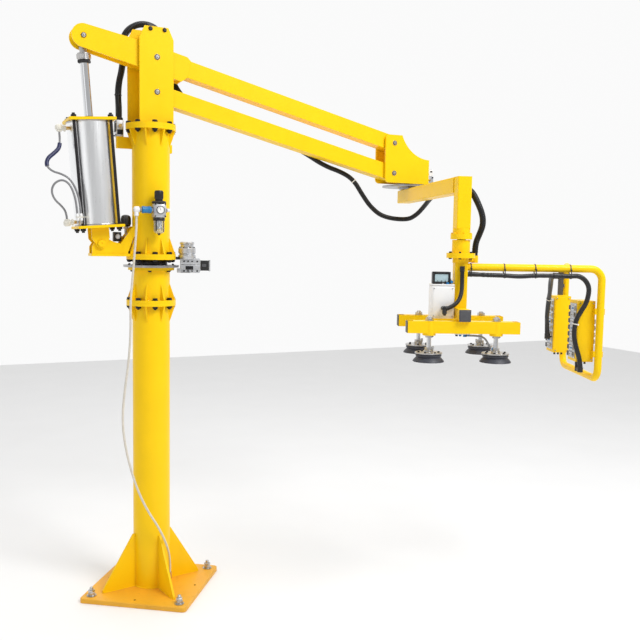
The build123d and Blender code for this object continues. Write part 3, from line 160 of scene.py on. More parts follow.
YELLOW = look("yellow_enamel", (0.95, 0.6, 0.004), 0.36, vary=0.035, scale=4, bump=0.1, grain=420,
              rim=0.0016, coat=0.05, shine=0.16)
PLATE = look("floor_plate_enamel", (0.8, 0.4, 0.02), 0.5, vary=0.07, scale=7, bump=0.25, grain=300,
             rim=0.002, dust=0.35)
CHROME = look("hard_chrome", (0.78, 0.79, 0.81), 0.1, 1.0, vary=0.03, scale=20, bump=0.02,
              stretch=(1, 1, 0.2))
BARREL = look("drawn_aluminium", (0.93, 0.94, 0.95), 0.3, 1.0, vary=0.035, scale=30, bump=0.015,
              stretch=(1, 1, 0.04))
STEEL = look("zinc_plate", (0.52, 0.51, 0.5), 0.3, 1.0, vary=0.12, scale=60, bump=0.1, rim=0.0006)
DARK = look("blackened_steel", (0.035, 0.034, 0.036), 0.4, 0.85, vary=0.25, scale=60, bump=0.12,
            rim=0.0006)
CAST = look("cast_silver", (0.6, 0.61, 0.63), 0.38, 0.9, vary=0.08, scale=40, bump=0.3, grain=500,
            rim=0.0012)
DISC = look("ground_disc", (0.42, 0.42, 0.43), 0.33, 1.0, vary=0.08, scale=25, bump=0.08,
            stretch=(1, 1, 6), rim=0.0006)
HOSE = look("black_hose", (0.01, 0.01, 0.011), 0.36, vary=0.3, scale=50, bump=0.25, grain=700,
            shine=0.28)
CONDUIT = look("grey_black_conduit", (0.018, 0.018, 0.02), 0.34, vary=0.3, scale=50, bump=0.2,
               grain=600, shine=0.35)
NAVY = look("navy_sleeve", (0.012, 0.016, 0.075), 0.4, vary=0.25, scale=60, bump=0.3, grain=600)
AIR = look("grey_air_hose", (0.22, 0.22, 0.23), 0.3, vary=0.12, scale=60, bump=0.05, coat=0.3)
PALE_AIR = look("pale_air_hose", (0.62, 0.58, 0.5), 0.3, vary=0.08, scale=50, bump=0.05, coat=0.3)
CREAM = look("cream_moulding", (0.8, 0.77, 0.68), 0.4, vary=0.05, scale=70, bump=0.12, rim=0.0008)
WHITE = look("white_housing", (0.82, 0.82, 0.82), 0.34, vary=0.03, scale=20, bump=0.12, grain=500,
             rim=0.0016)
BLACK = look("black_moulding", (0.014, 0.014, 0.015), 0.42, vary=0.2, scale=70, bump=0.2, grain=600,
             rim=0.0008)
BLUE = look("blue_sleeve", (0.01, 0.17, 0.42), 0.35, vary=0.1, scale=80, bump=0.08, rim=0.0005)
RUBBER = look("cup_rubber", (0.028, 0.03, 0.042), 0.5, vary=0.2, scale=50, bump=0.3, grain=500)
BRASS = look("brass", (0.7, 0.48, 0.18), 0.3, 1.0, vary=0.08, scale=60, bump=0.08)
BOWL = look("clear_bowl", (0.88, 0.91, 0.92), 0.08, vary=0.02, scale=40, bump=0.02, clear=0.85)
DIAL = look("dial_face", (0.9, 0.9, 0.88), 0.3, vary=0.02, scale=50, bump=0.02)
SCREEN = look("display", (0.42, 0.56, 0.6), 0.15, vary=0.06, scale=80, bump=0.02, coat=0.6)
CAP = look("grey_end_cap", (0.075, 0.075, 0.082), 0.5, vary=0.12, scale=60, bump=0.3, rim=0.0015)

CAD_LOOKS = {
    PLATE: ["base_plate"],
    CHROME: ["piston_rod", "cup_stems"],
    BARREL: ["cylinder_barrel"],
    DISC: ["column_brake_disc", "wrist_disc"],
    STEEL: ["rod_eye", "turret_pins", "lift_pins", "wrist_pins"],
    DARK: ["tie_rods"],
    BRASS: ["supply_inlet"],
}
for node in nodes.values():
    node.data.materials.clear()
    node.data.materials.append(YELLOW)
for finish, names in CAD_LOOKS.items():
    for name in names:
        nodes[name].data.materials[0] = finish


# ---- mesh tools ----
# How an outline (a, b) with height c lies in a frame.
LAYS = {"xy": lambda a, b, c: (a, b, c), "yz": lambda a, b, c: (c, a, b)}


class Piece:
    """Gathers shapes in one frame into one object that rides on a body."""

    def __init__(self, where=ROW):
        self.mesh = bmesh.new()
        self.where = where
        self.looks = []

    def take(self, part, finish, place=ROW):
        """Adds a finished shape with its look."""
        if finish not in self.looks:
            self.looks.append(finish)
        for face in part.faces:
            face.material_index = self.looks.index(finish)
            face.smooth = True
        bmesh.ops.recalc_face_normals(part, faces=part.faces)
        part.transform(place)
        holder = bpy.data.meshes.new("part")
        part.to_mesh(holder)
        self.mesh.from_mesh(holder)
        bpy.data.meshes.remove(holder)
        part.free()

    def block(self, low, high, finish, bevel=0.002, place=ROW):
        """A box between two corners, with its edges eased."""
        part = bmesh.new()
        bmesh.ops.create_cube(part, size=1)
        size = Vector(high) - Vector(low)
        middle = Matrix.Translation((Vector(high) + Vector(low)) / 2)
        part.transform(middle @ Matrix.Diagonal((*size, 1)))
        bevel = min(bevel, min(size) * 0.3)
        bmesh.ops.bevel(part, geom=part.edges[:], offset=bevel, segments=2, affect="EDGES", profile=0.6)
        self.take(part, finish, place)

    def turned(self, profile, at, finish, axis=(0, 0, 1), count=36, ring=False, spin=0.0):
        """Turns (radius, height) points about an axis through a point."""
        part = bmesh.new()
        rings = []
        for radius, height in profile:
            if radius < 1e-6:
                rings.append([part.verts.new((0, 0, height))])
                continue
            angles = [2 * pi * k / count + spin for k in range(count)]
            rings.append([part.verts.new((radius * cos(a), radius * sin(a), height)) for a in angles])
        pairs = list(zip(rings, rings[1:] + (rings[:1] if ring else [])))
        for one, two in pairs[:len(rings) if ring else len(rings) - 1]:
            for k in range(count):
                n = (k + 1) % count
                corners = [one[k % len(one)], one[n % len(one)], two[n % len(two)], two[k % len(two)]]
                corners = list(dict.fromkeys(corners))
                if len(corners) > 2:
                    part.faces.new(corners)
        if not ring:
            for end in (rings[0], rings[-1]):
                if len(end) > 2:
                    part.faces.new(end)
        turn = Vector((0, 0, 1)).rotation_difference(Vector(axis)).to_matrix().to_4x4()
        self.take(part, finish, Matrix.Translation(at) @ turn)

    def rod(self, start, end, radius, finish, chamfer=0.001, count=28):
        """A round bar with chamfered ends."""
        axis = Vector(end) - Vector(start)
        length = axis.length
        c = min(chamfer, radius * 0.4, length * 0.3)
        self.turned([(0, 0), (radius - c, 0), (radius, c), (radius, length - c), (radius - c, length),
                     (0, length)], start, finish, axis.normalized(), count)

    def bolt(self, at, axis, size, finish, stud=0.0, washer=True, spin=0.3):
        """A hexagon head or, with a stud, a nut with its bolt end."""
        lift = 0.0
        if washer:
            lift = size * 0.17
            self.turned([(0, 0), (size * 1.02, 0), (size * 1.08, lift * 0.4), (size * 1.02, lift),
                         (0, lift)], at, finish, axis, 24)
        high = lift + size * 0.66
        r = size * 0.92
        self.turned([(0, lift), (r * 0.93, lift), (r, lift + size * 0.07), (r, high - size * 0.1),
                     (r * 0.86, high), (0, high)], at, finish, axis, 6, spin=spin)
        if stud:
            s = size * 0.5
            self.turned([(0, lift), (s, lift), (s, high + stud - s * 0.25), (s * 0.75, high + stud),
                         (0, high + stud)], at, finish, axis, 18)

    def cap_screw(self, at, axis, size, finish):
        """A socket head screw with its recess."""
        r = size * 0.75
        h = size * 0.9
        self.turned([(0, 0), (r, 0), (r, h * 0.85), (r * 0.88, h), (r * 0.5, h), (r * 0.46, h * 0.45),
                     (0, h * 0.45)], at, finish, axis, 24)

    def prism(self, outline, low, high, finish):
        """A flat outline pushed from low to high."""
        part = bmesh.new()
        ends = [[part.verts.new((a, b, c)) for a, b in outline] for c in (low, high)]
        part.faces.new(ends[0])
        part.faces.new(ends[1])
        for k in range(len(outline)):
            n = (k + 1) % len(outline)
            part.faces.new((ends[0][k], ends[0][n], ends[1][n], ends[1][k]))
        self.take(part, finish)

    def sweep(self, path, radius, finish, sides=18, closed=False):
        """A round skin along a path; radius is a number or a function of length and angle."""
        part = bmesh.new()
        count = len(path)
        travel = [0.0]
        for a, b in zip(path, path[1:]):
            travel.append(travel[-1] + (b - a).length)
        heading = (path[1] - path[0]).normalized()
        side = heading.orthogonal().normalized()
        rings = []
        for i, point in enumerate(path):
            ahead = path[(i + 1) % count] if closed or i + 1 < count else point
            behind = path[i - 1] if closed or i else point
            new = (ahead - behind).normalized()
            side = heading.rotation_difference(new) @ side
            heading = new
            side = (side - heading * side.dot(heading)).normalized()
            other = heading.cross(side)
            ring = []
            for k in range(sides):
                a = 2 * pi * k / sides
                r = radius(travel[i], a) if callable(radius) else radius
                ring.append(part.verts.new(point + (side * cos(a) + other * sin(a)) * r))
            rings.append(ring)
        for one, two in list(zip(rings, rings[1:])) + ([(rings[-1], rings[0])] if closed else []):
            for k in range(sides):
                n = (k + 1) % sides
                part.faces.new((one[k], one[n], two[n], two[k]))
        if not closed:
            part.faces.new(rings[0])
            part.faces.new(rings[-1])
        self.take(part, finish)

    def strap(self, circles, at, width, thick, finish, lay="yz"):
        """A tie pulled round circles (a, b, radius) that lie across an axis."""
        cloud = []
        for a, b, r in circles:
            reach = r + thick / 2
            for k in range(48):
                cloud.append((a + reach * cos(pi * k / 24), b + reach * sin(pi * k / 24)))
        loop = hull(cloud)
        turns = LAYS[lay]
        part = bmesh.new()
        middle = Vector((sum(p[0] for p in loop) / len(loop), sum(p[1] for p in loop) / len(loop)))
        rings = []
        for a, b in loop:
            out = (Vector((a, b)) - middle).normalized() * thick / 2
            rings.append([part.verts.new(turns(a + s * out.x, b + s * out.y, at + w * width / 2))
                          for s, w in ((-1, -1), (1, -1), (1, 1), (-1, 1))])
        for one, two in zip(rings, rings[1:] + rings[:1]):
            for k in range(4):
                n = (k + 1) % 4
                part.faces.new((one[k], one[n], two[n], two[k]))
        self.take(part, finish)

    def done(self, name, body, stands_for=(), crease=35):
        """Makes the object, rides it on its body and hides the parts it stands for."""
        self.mesh.transform(self.where)
        data = bpy.data.meshes.new(name)
        self.mesh.to_mesh(data)
        self.mesh.free()
        for finish in self.looks:
            data.materials.append(finish)
        data.set_sharp_from_angle(angle=radians(crease))
        made = placed(name, data)
        if body:
            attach(made, body)
        if stands_for:
            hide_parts(*stands_for)
        return made


def hull(points):
    """The outline round a cloud of flat points."""
    points = sorted(set((round(a, 6), round(b, 6)) for a, b in points))

    def half(run):
        kept = []
        for p in run:
            while len(kept) > 1 and ((kept[-1][0] - kept[-2][0]) * (p[1] - kept[-2][1])
                                     - (kept[-1][1] - kept[-2][1]) * (p[0] - kept[-2][0])) <= 0:
                kept.pop()
            kept.append(p)
        return kept[:-1]

    return half(points) + half(points[::-1])


def circle(z, radius, count=520):
    """Points of a level circle round the column."""
    return [Vector((radius * cos(2 * pi * k / count), radius * sin(2 * pi * k / count), z))
            for k in range(count)]


def spots(count, radius, start=0.0, x=0.0, y=0.0):
    """Number, angle and place of each of a ring of equal parts."""
    for k in range(count):
        a = radians(360 / count * k + start)
        yield k, a, x + radius * cos(a), y + radius * sin(a)


# ---- hoses ----
# Routes in millimetres, each in its body's frame.
SUPPLY_ROUTE = [
    (-116, -154, 2091), (-116, -154, 2030), (-125, -158, 1925), (-138, -165, 1790), (-154, -170, 1640),
    (-153, -174, 1480), (-166, -178, 1320), (-190, -181, 1160), (-203, -182, 1010), (-186, -180, 860),
    (-152, -176, 720), (-110, -172, 595), (-60, -166, 490), (-5, -158, 400), (38, -146, 310),
    (66, -122, 230), (78.5, -100.47, 165), (78.5, -100.47, 105)
]
HEAD_ROUTE = [
    (-153, 90, 2610), (-153, 90, 2665), (-158, 94, 2740), (-151, 96, 2810), (-134, 97, 2880),
    (-127, 98, 2970), (-127, 98, 3069), (-58, 98, 3138), (40, 98, 3138), (109, 98, 3069),
    (112, 97, 2985), (131, 96, 2895), (162, 93, 2815), (212, 86, 2750), (282, 76, 2702), (381, 71, 2674)
]
ARM_ROUTE = [
    (381, 71, 2674), (480, 66, 2646), (640, 64, 2610), (800, 64, 2565), (940, 63, 2505),
    (1075, 59, 2432), (1190, 38, 2396), (1262, 24, 2352), (1315, 12, 2268), (1372, 0, 2190),
    (1455, -14, 2130), (1527.5, -36, 2123)
]
WRIST_ROUTE = [
    (1527.5, -36, 2123), (1600, -58, 2116), (1636, -110, 2148), (1648, -172, 2196), (1636, -250, 2236),
    (1607, -350, 2262), (1573, -460, 2266), (1538, -580, 2258), (1501, -700, 2264), (1464, -815, 2270),
    (1428, -925, 2266), (1406, -986.5, 2246)
]
POST_ROUTE = [
    (1406, -986.5, 2246), (1392.8, -1023.4, 2234), (1384, -1058, 2212), (1383, -1090, 2176),
    (1396, -1110, 2124), (1411, -1100, 2072), (1414, -1068, 2024), (1406.8, -1043.17, 1974),
    (1406.8, -1043.17, 1915)
]
LOOM_ROUTE = [
    (44, -16, 1822), (120, -17, 1819), (222, -20, 1818), (300, -21, 1813), (380, -20, 1821),
    (470, -20, 1820)
]
NEAR_BOX_ROUTE = [
    (500, -20, 1820), (550, -21, 1818), (600, -20, 1823), (637, -19, 1801), (658, -17, 1764),
    (658, -11, 1721), (650, -4, 1680), (629, 1, 1642), (607, 4, 1600), (599, 5, 1552), (600, 5, 1505),
    (610, 4, 1461), (624, 4, 1420), (635, 6, 1386), (640, 8, 1350)
]
FAR_BOX_ROUTE = [
    (485, -2, 1820), (487, 45, 1818), (500, 105, 1801), (519, 170, 1768), (538, 235, 1727),
    (554, 300, 1680), (567, 352, 1627), (577, 395, 1573), (591, 428, 1524), (594, 430, 1478)
]
TANK_ROUTE = [
    (0, -50, 1836), (0, -54, 1785), (-2, -64, 1738), (-14, -76, 1698), (-40, -86, 1668),
    (-78, -92, 1652)
]
CUP_ROUTE = [
    (20, -107, 1521), (80, -107, 1520), (108, -107, 1511), (125, -107, 1490), (134, -107, 1468),
    (148, -107, 1457)
]
UPPER_ROUTE = [
    (-163, -40, 580), (-163, -40, 538), (-173, -57, 497), (-205, -76, 470), (-240, -90, 444),
    (-250, -100, 408), (-226, -112, 378), (-184, -122, 364), (-146, -129, 340), (-120, -131, 290),
    (-105, -130, 222), (-105, -130, 160)
]
LOWER_ROUTE = [
    (-163, -40, 136), (-163, -40, 172), (-188, -58, 206), (-221, -77, 236), (-237, -94, 280),
    (-220, -108, 320), (-182, -121, 336), (-150, -132, 314), (-133, -135, 268), (-124, -134, 214),
    (-124, -134, 160)
]


def smooth_line(route, where):
    """The points in metres of the NURBS line along a route."""
    curve = bpy.data.curves.new("route", "CURVE")
    curve.dimensions = "3D"
    curve.resolution_u = 24
    spline = curve.splines.new("NURBS")
    spline.points.add(len(route) - 1)
    for slot, point in zip(spline.points, route):
        slot.co = (*[c / 1000 for c in point], 1)
    spline.order_u = 3
    spline.use_endpoint_u = True
    holder = placed("route", curve)
    bpy.context.view_layer.update()
    line = bpy.data.meshes.new_from_object(holder)
    path = [where @ v.co for v in line.vertices]
    bpy.data.objects.remove(holder)
    return path


def ribbed(radius, pitch=0.005, depth=0.05):
    """The skin of a corrugated conduit."""
    return lambda s, a: radius * (1 - depth + depth * cos(2 * pi * s / pitch))


def bundled(radius, strands=3, twist=9.0):
    """The skin of a twisted bundle."""
    return lambda s, a: radius * (0.84 + 0.16 * abs(cos((a + twist * s) * strands / 2)))


def hose(name, route, where, skin, finish, nodes_for, body=None, bend=None,
         sides=18):
    """A hose along its route, as a cord; gives back its path."""
    path = smooth_line(route, where)
    piece = Piece()
    piece.sweep(path, skin, finish, sides)
    made = piece.done(name, body, crease=60)
    if bend:
        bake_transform(made)
    if nodes_for:
        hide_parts(*nodes_for)
    return path


ARM_BEND = ("link", "wrist", (1.19, 0.038, 2.396), (1.455, -0.014, 2.13))
hose("column_air_line", SUPPLY_ROUTE, ROW, 0.006, PALE_AIR,
     ["supply_hose"], bend=("base", "turret", (0.0785, -0.1, 0.2), (-0.13, -0.16, 1.9)))
head_path = hose("head_bundle", HEAD_ROUTE, ROW, bundled(0.018), HOSE, ["head_hose"],
                 bend=("turret", "link", (0.1, 0.098, 2.9), (0.33, 0.073, 2.8)),
                 sides=30)
arm_path = hose("arm_conduit", ARM_ROUTE, ROW, 0.014, HOSE, ["arm_hose"],
                bend=ARM_BEND, sides=24)
wrist_path = hose("wrist_conduit", WRIST_ROUTE, ROW, 0.014, HOSE, ["wrist_hose"],
                  bend=("wrist", "forearm", (1.5275, -0.036, 2.123), (1.573, -0.46, 2.266)), sides=24)
hose("post_conduit", POST_ROUTE, ROW, ribbed(0.016), HOSE, ["post_hose"],
     bend=("forearm", "tool", (1.3928, -1.0234, 2.234), (1.4068, -1.0432, 1.95)), sides=24)
upper_path = hose("upper_lift_hose", UPPER_ROUTE, CYLINDER, 0.0055, AIR,
                  ["cylinder_hoses"], body="cylinder")
hose("lower_lift_hose", LOWER_ROUTE, CYLINDER, 0.0055, AIR, (),
     body="cylinder")
hose("handle_loom", LOOM_ROUTE, TOOL, ribbed(0.012), CONDUIT,
     ["tool_hoses"], body="tool")
near_path = hose("near_box_loom", NEAR_BOX_ROUTE, TOOL, ribbed(0.013), CONDUIT, (),
                 body="tool")
far_path = hose("far_box_loom", FAR_BOX_ROUTE, TOOL, bundled(0.013, 2, 14), CONDUIT, (),
                body="tool", sides=24)
hose("tank_loom", TANK_ROUTE, TOOL, ribbed(0.011), CONDUIT, (), body="tool")
hose("cup_air_hose", CUP_ROUTE, TOOL, 0.005, AIR, (), body="tool")


def along(path, share):
    """The point and heading a share of the way down a path."""
    i = min(len(path) - 2, int(share * (len(path) - 1)))
    return path[i], (path[i + 1] - path[i]).normalized()


def tie(name, body, path, share, radius, finish, bend=None):
    """A cable tie round a hose, with its head."""
    piece = Piece()
    at, heading = along(path, share)
    r = radius + 0.0002
    piece.turned([(r, -0.0025), (r + 0.0014, -0.0025), (r + 0.0014, 0.0025), (r, 0.0025)], at, finish,
                 heading, 32, ring=True)
    side = heading.cross(Vector((0.3, -1, 0.2))).normalized()
    out = side.cross(heading).normalized()
    turn = Matrix((heading, side, out)).transposed().to_4x4()
    piece.block((-0.004, -0.0035, 0), (0.004, 0.0035, 0.006), finish, 0.001,
                Matrix.Translation(at + out * (r + 0.0006)) @ turn)
    made = piece.done(name, None if bend else body)
    if bend:
        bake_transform(made)
    return made


tie("head_bundle_tie", "turret", head_path, 0.115, 0.018, BLACK)
tie("head_bundle_upper_tie", "turret", head_path, 0.3, 0.018, BLACK)
tie("arm_conduit_tie", None, arm_path, 0.652, 0.014, CREAM, ARM_BEND)
tie("wrist_conduit_tie", "forearm", wrist_path, 0.72, 0.014, BLACK)
tie("near_loom_tie", "tool", near_path, 0.62, 0.013, CREAM)
tie("far_loom_tie", "tool", far_path, 0.55, 0.013, CREAM)

# ---- bolts ----
low_bolts = Piece()
high_bolts = Piece()
for k, a, x, y in spots(8, FLANGE_BOLT_RADIUS, -94):
    low_bolts.bolt((x, y, 1.64), (0, 0, 1), 0.0155, DARK, spin=0.4 + k)
    low_bolts.bolt((x, y, 1.608), (0, 0, -1), 0.0155, DARK, stud=0.006, spin=k)
    high_bolts.bolt((x, y, 1.89), (0, 0, 1), 0.0155, DARK, spin=0.9 + k)
    high_bolts.bolt((x, y, 1.86), (0, 0, -1), 0.0155, DARK, stud=0.003, spin=0.2 * k)
    high_bolts.bolt((x, y, 2.588), (0, 0, 1), 0.0155, DARK, spin=0.5 * k)
    high_bolts.bolt((x, y, 2.556), (0, 0, -1), 0.0155, DARK, stud=0.006, spin=0.7 * k)
for k, a, x, y in spots(6, 0.113, 12):
    low_bolts.bolt((x, y, 1.802), (0, 0, -1), 0.01, DARK, spin=k)
low_bolts.done("column_joint_bolts", "base")
high_bolts.turned([(0.0425, 1.8315), (0.086, 1.8315), (0.088, 1.834), (0.088, 1.8565), (0.086, 1.8595),
                   (0.0425, 1.8595)], (0, 0, 0), DARK, count=64, ring=True)
high_bolts.done("turret_joint_bolts", "turret")

anchors = Piece()
for azimuth in GUSSET_AZIMUTHS:
    a = radians(azimuth)
    x, y = ANCHOR_RADIUS * cos(a), ANCHOR_RADIUS * sin(a)
    anchors.turned([(0, 0), (0.026, 0), (0.0265, 0.002), (0.026, 0.004), (0, 0.004)], (x, y, 0.025), STEEL)
    anchors.bolt((x, y, 0.029), (0, 0, 1), 0.021, STEEL, spin=a)
    anchors.bolt((x, y, 0.0465), (0, 0, 1), 0.0195, STEEL, stud=0.014, washer=False, spin=a + 0.5)
anchors.done("floor_anchors", "base")

levels = Piece()
for azimuth in GUSSET_AZIMUTHS:
    a = radians(azimuth + 45)
    at = (LEVEL_RADIUS * cos(a), LEVEL_RADIUS * sin(a), 0.0185)
    levels.turned([(0, 0), (0.0065, 0), (0.0065, 0.005), (0.0045, 0.006), (0.0042, 0.002), (0, 0.002)], at,
                  DARK, count=20)
levels.done("levelling_screws", "base")


def bead(piece, path, radius, closed=False):
    """A weld bead with its ripples."""
    piece.sweep(path, lambda s, a: radius * (1 + 0.16 * sin(s * 1900) + 0.08 * sin(s * 700)), YELLOW, 8,
                closed)


def straight(a, b):
    """Points from a to b, close enough for a bead's ripples."""
    a, b = Vector(a), Vector(b)
    count = max(2, int((b - a).length / 0.0016))
    return [a.lerp(b, k / count) for k in range(count + 1)]


welds = Piece()
bead(welds, circle(0.0262, 0.1025), 0.0042, True)
bead(welds, circle(1.6075, 0.1022), 0.003, True)
bead(welds, circle(1.6405, 0.1022), 0.003, True)
for azimuth in GUSSET_AZIMUTHS:
    turn = Matrix.Rotation(radians(azimuth), 4, "Z")
    for side in (-0.0072, 0.0072):
        for start, end in (((0.105, side, 0.0262), (0.286, side, 0.0262)),
                           ((0.1018, side, 0.03), (0.1018, side, 0.318))):
            bead(welds, [turn @ p for p in straight(start, end)], 0.003)
welds.done("column_welds", "base")

turret_welds = Piece()
bead(turret_welds, circle(1.8905, 0.1022), 0.003, True)
bead(turret_welds, circle(2.5555, 0.1022), 0.003, True)
for y in (-0.0657, 0.0657):
    bead(turret_welds, straight((-0.07, y, 2.5895), (0.098, y, 2.5895)), 0.003)
turret_welds.block((0.095, -0.016, 2.44), (0.1145, 0.016, 2.487), YELLOW, 0.003)
turret_welds.done("turret_welds_and_lug", "turret")


def pin_end(piece, at, axis, radius):
    """The end of a pin: chamfered disc, grease nipple and retaining ring."""
    piece.turned([(0, 0), (radius, 0), (radius, 0.0015), (radius - 0.002, 0.003), (0.004, 0.003),
                  (0.0038, 0.006), (0.0026, 0.0085), (0, 0.009)], at, STEEL, axis, 32)
    piece.turned([(radius, -0.001), (radius + 0.003, -0.001), (radius + 0.003, 0.0006),
                  (radius, 0.0006)], at, DARK, axis, 32, ring=True)


for name, body, node, places, radius in (
        ("turret_pin_ends", "turret", "head_plate_front", ((0.0185, 2.755), (0.0185, 2.937)), 0.011),
        ("tail_pin_ends", "boom", "boom_tail_plates", ((-0.3598, 3.0104),), 0.0105),
        ("wrist_pin_ends", "wrist", "wrist_plates", ((1.4946, 2.5826), (1.4946, 2.4006)), 0.01)):
    piece = Piece()
    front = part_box(node)[0][1]
    for x, z in places:
        pin_end(piece, (x, front - 0.0032, z), (0, -1, 0), radius)
        pin_end(piece, (x, -front + 0.0032, z), (0, 1, 0), radius)
    piece.done(name, body)

spacers = Piece()
for x in (-0.017, 0.059):
    for y in (-1, 1):
        spacers.bolt((x, y * 0.065, 3.081), (0, y, 0), 0.011, DARK, spin=x * 30)
spacers.done("head_spacer_bolts", "turret")

foot = Piece()
for y in (-1, 1):
    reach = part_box("cylinder_bracket")[1][1] if y > 0 else -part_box("cylinder_bracket")[0][1]
    foot.turned([(0, 0), (0.019, 0), (0.019, 0.004), (0.017, 0.006), (0.006, 0.006), (0.0055, 0.003),
                 (0, 0.003)], (-0.28, y * (max(reach, 0.061) + 0.0022), 1.944), YELLOW, (0, y, 0), 36)
foot.done("cylinder_foot_pin_ends", "turret")

# ---- lift cylinder ----
nuts = Piece(CYLINDER)
for x in (-0.094, 0.094):
    for y in (-0.094, 0.094):
        nuts.bolt((x, y, 0.65), (0, 0, 1), 0.0165, DARK, spin=x * 9 + y * 30)
        nuts.bolt((x, y, 0.082), (0, 0, -1), 0.0165, DARK, spin=x * 5 + y * 17)
nuts.turned([(0.0228, 0), (0.042, 0), (0.042, 0.006), (0.038, 0.01), (0.027, 0.012), (0.0228, 0.01)],
            (0, 0, 0.65), STEEL, count=48, ring=True)
nuts.turned([(0.0226, 0), (0.026, 0), (0.026, 0.003), (0.0228, 0.0045)], (0, 0, 0.6605), BLACK, count=48,
            ring=True)
for z in (0.0965, 0.6355):
    s = 1 if z < 0.3 else -1
    nuts.turned([(0.1172, 0), (0.1186, 0), (0.1186, s * 0.006), (0.1172, s * 0.008)], (0, 0, z), STEEL,
                count=72, ring=True)
nuts.done("lift_cylinder_nuts_and_gland", "cylinder")

eye = Piece(CYLINDER)
eye.turned([(0.0227, 0), (0.031, 0), (0.034, 0.003), (0.034, 0.013), (0.031, 0.016), (0.0227, 0.016)],
           (0, 0, 0.9362), DARK, count=6, ring=True)
eye.turned([(0.0333, 0.004), (0.0375, 0.006), (0.0375, 0.028), (0.0333, 0.03)], (0, 0, 0.9523), STEEL,
           count=6, ring=True)
eye.done("rod_lock_nuts", "rod")

elbows = Piece(CYLINDER)
for z, way in ((0.118, 1), (0.6, -1)):
    elbows.turned([(0, -0.02), (0.01, -0.02), (0.016, -0.016), (0.0195, -0.01), (0.0195, 0.004),
                   (0.016, 0.008), (0.0135, 0.009), (0.0135, 0.015), (0.0075, 0.018), (0.0052, 0.018)],
                  (-0.163, -0.04, z), CREAM, (0, 0, way), 36)
    elbows.rod((-0.17, -0.04, z), (-0.128, -0.04, z), 0.0118, CREAM)
    elbows.turned([(0.0112, 0), (0.017, 0.001), (0.017, 0.011), (0.0112, 0.012)], (-0.142, -0.04, z), CREAM,
                  (1, 0, 0), 6, ring=True)
    elbows.rod((-0.13, -0.04, z), (-0.108, -0.04, z), 0.009, BRASS)
r = 0.008
for x, y in ((-0.105, -0.13), (-0.124, -0.134)):
    elbows.turned([(0, 0), (r * 0.8, 0), (r, 0.003), (r, 0.012), (r * 0.75, 0.014), (r * 0.75, 0.02),
                   (r, 0.022), (r, 0.033), (r * 0.8, 0.036), (0, 0.036)], (x, y, 0.124), WHITE, count=28)
    elbows.rod((x, y, 0.108), (x, y, 0.125), 0.0052, STEEL)
elbows.strap([(-0.094, -0.094, 0.0081), (-0.105, -0.13, 0.0081), (-0.124, -0.134, 0.0081)], 0.142, 0.005,
             0.0014, CREAM, "xy")
elbows.done("lift_cylinder_fittings", "cylinder", ("cylinder_fittings",))

sleeve = Piece()
count = len(upper_path)
sleeve.sweep(upper_path[int(count * 0.09):int(count * 0.46)], 0.0105, NAVY, 24)
sleeve.done("upper_hose_sleeve", "cylinder", crease=60)

# ---- lift valve and silencer ----
valve = Piece()
valve.block((-0.1726, 0.0634, 2.5222), (-0.1334, 0.1166, 2.6106), CAST, 0.003)
valve.block((-0.1766, 0.07, 2.548), (-0.172, 0.11, 2.596), BLACK, 0.0015)
valve.block((-0.168, 0.0595, 2.533), (-0.138, 0.064, 2.56), DARK, 0.0015)
valve.rod((-0.153, 0.06, 2.58), (-0.153, 0.052, 2.58), 0.009, BRASS)
valve.turned([(0.0185, 0), (0.0215, 0.001), (0.0215, 0.014), (0.0185, 0.016)], (-0.153, 0.09, 2.61), DARK,
             count=32, ring=True)
for z in (2.53, 2.603):
    for y in (0.07, 0.11):
        valve.cap_screw((-0.1722, y, z), (-1, 0, 0), 0.005, DARK)
valve.done("lift_valve_body", "turret")

silencer = Piece()
silencer.turned([(0, 0), (0.016, 0), (0.024, 0.006), (0.027, 0.014), (0.027, 0.046), (0.023, 0.058),
                 (0.012, 0.064), (0, 0.065)], (-0.129, 0.04, 2.036), BLACK, count=36)
for k, a, x, y in spots(14, 0.0266, x=-0.129, y=0.04):
    silencer.rod((x, y, 2.051), (x, y, 2.081), 0.0016, BLACK, count=8)
silencer.rod((-0.129, 0.04, 1.889), (-0.129, 0.04, 2.038), 0.0085, STEEL)
silencer.turned([(0.0085, 0), (0.014, 0), (0.014, 0.012), (0.0085, 0.012)], (-0.129, 0.04, 2.024), STEEL,
                count=6, ring=True)
silencer.block((-0.205, -0.016, 1.955), (-0.165, 0.028, 2.006), BLACK, 0.004)
silencer.rod((-0.185, -0.0155, 1.981), (-0.185, -0.02, 1.981), 0.013, CAST)
silencer.block((-0.187, -0.0225, 1.972), (-0.183, -0.0195, 1.99), WHITE, 0.001)
silencer.rod((-0.166, 0.01, 1.978), (-0.129, 0.04, 1.978), 0.007, STEEL)
silencer.done("exhaust_silencer_and_valve", "turret")

# ---- air preparation set ----
air = Piece(FILTER)
air.block((-0.033, -0.028, -0.037), (0.033, 0.031, 0.037), CAST, 0.007)
air.block((-0.024, -0.031, -0.026), (0.024, -0.024, 0.03), CAST, 0.004)
air.turned([(0, 0), (0.034, 0), (0.0385, 0.004), (0.0385, 0.009), (0.034, 0.014), (0.026, 0.016),
            (0, 0.016)], (0, 0, 0.036), BLACK, count=40)
air.turned([(0, 0), (0.0205, 0), (0.0205, 0.01), (0.0225, 0.013), (0.0225, 0.05), (0.0195, 0.056),
            (0, 0.0565)], (0, 0, 0.05), BLACK, count=40)
for k, a, x, y in spots(24, 0.0222):
    air.rod((x, y, 0.066), (x, y, 0.099), 0.0013, BLACK, 0.0005, 8)
air.turned([(0, 0), (0.0205, 0), (0.0215, 0.003), (0.0215, 0.009), (0.0195, 0.011), (0.0185, 0.008),
            (0, 0.008)], (0, -0.029, 0.003), DARK, (0, -1, 0), 40)
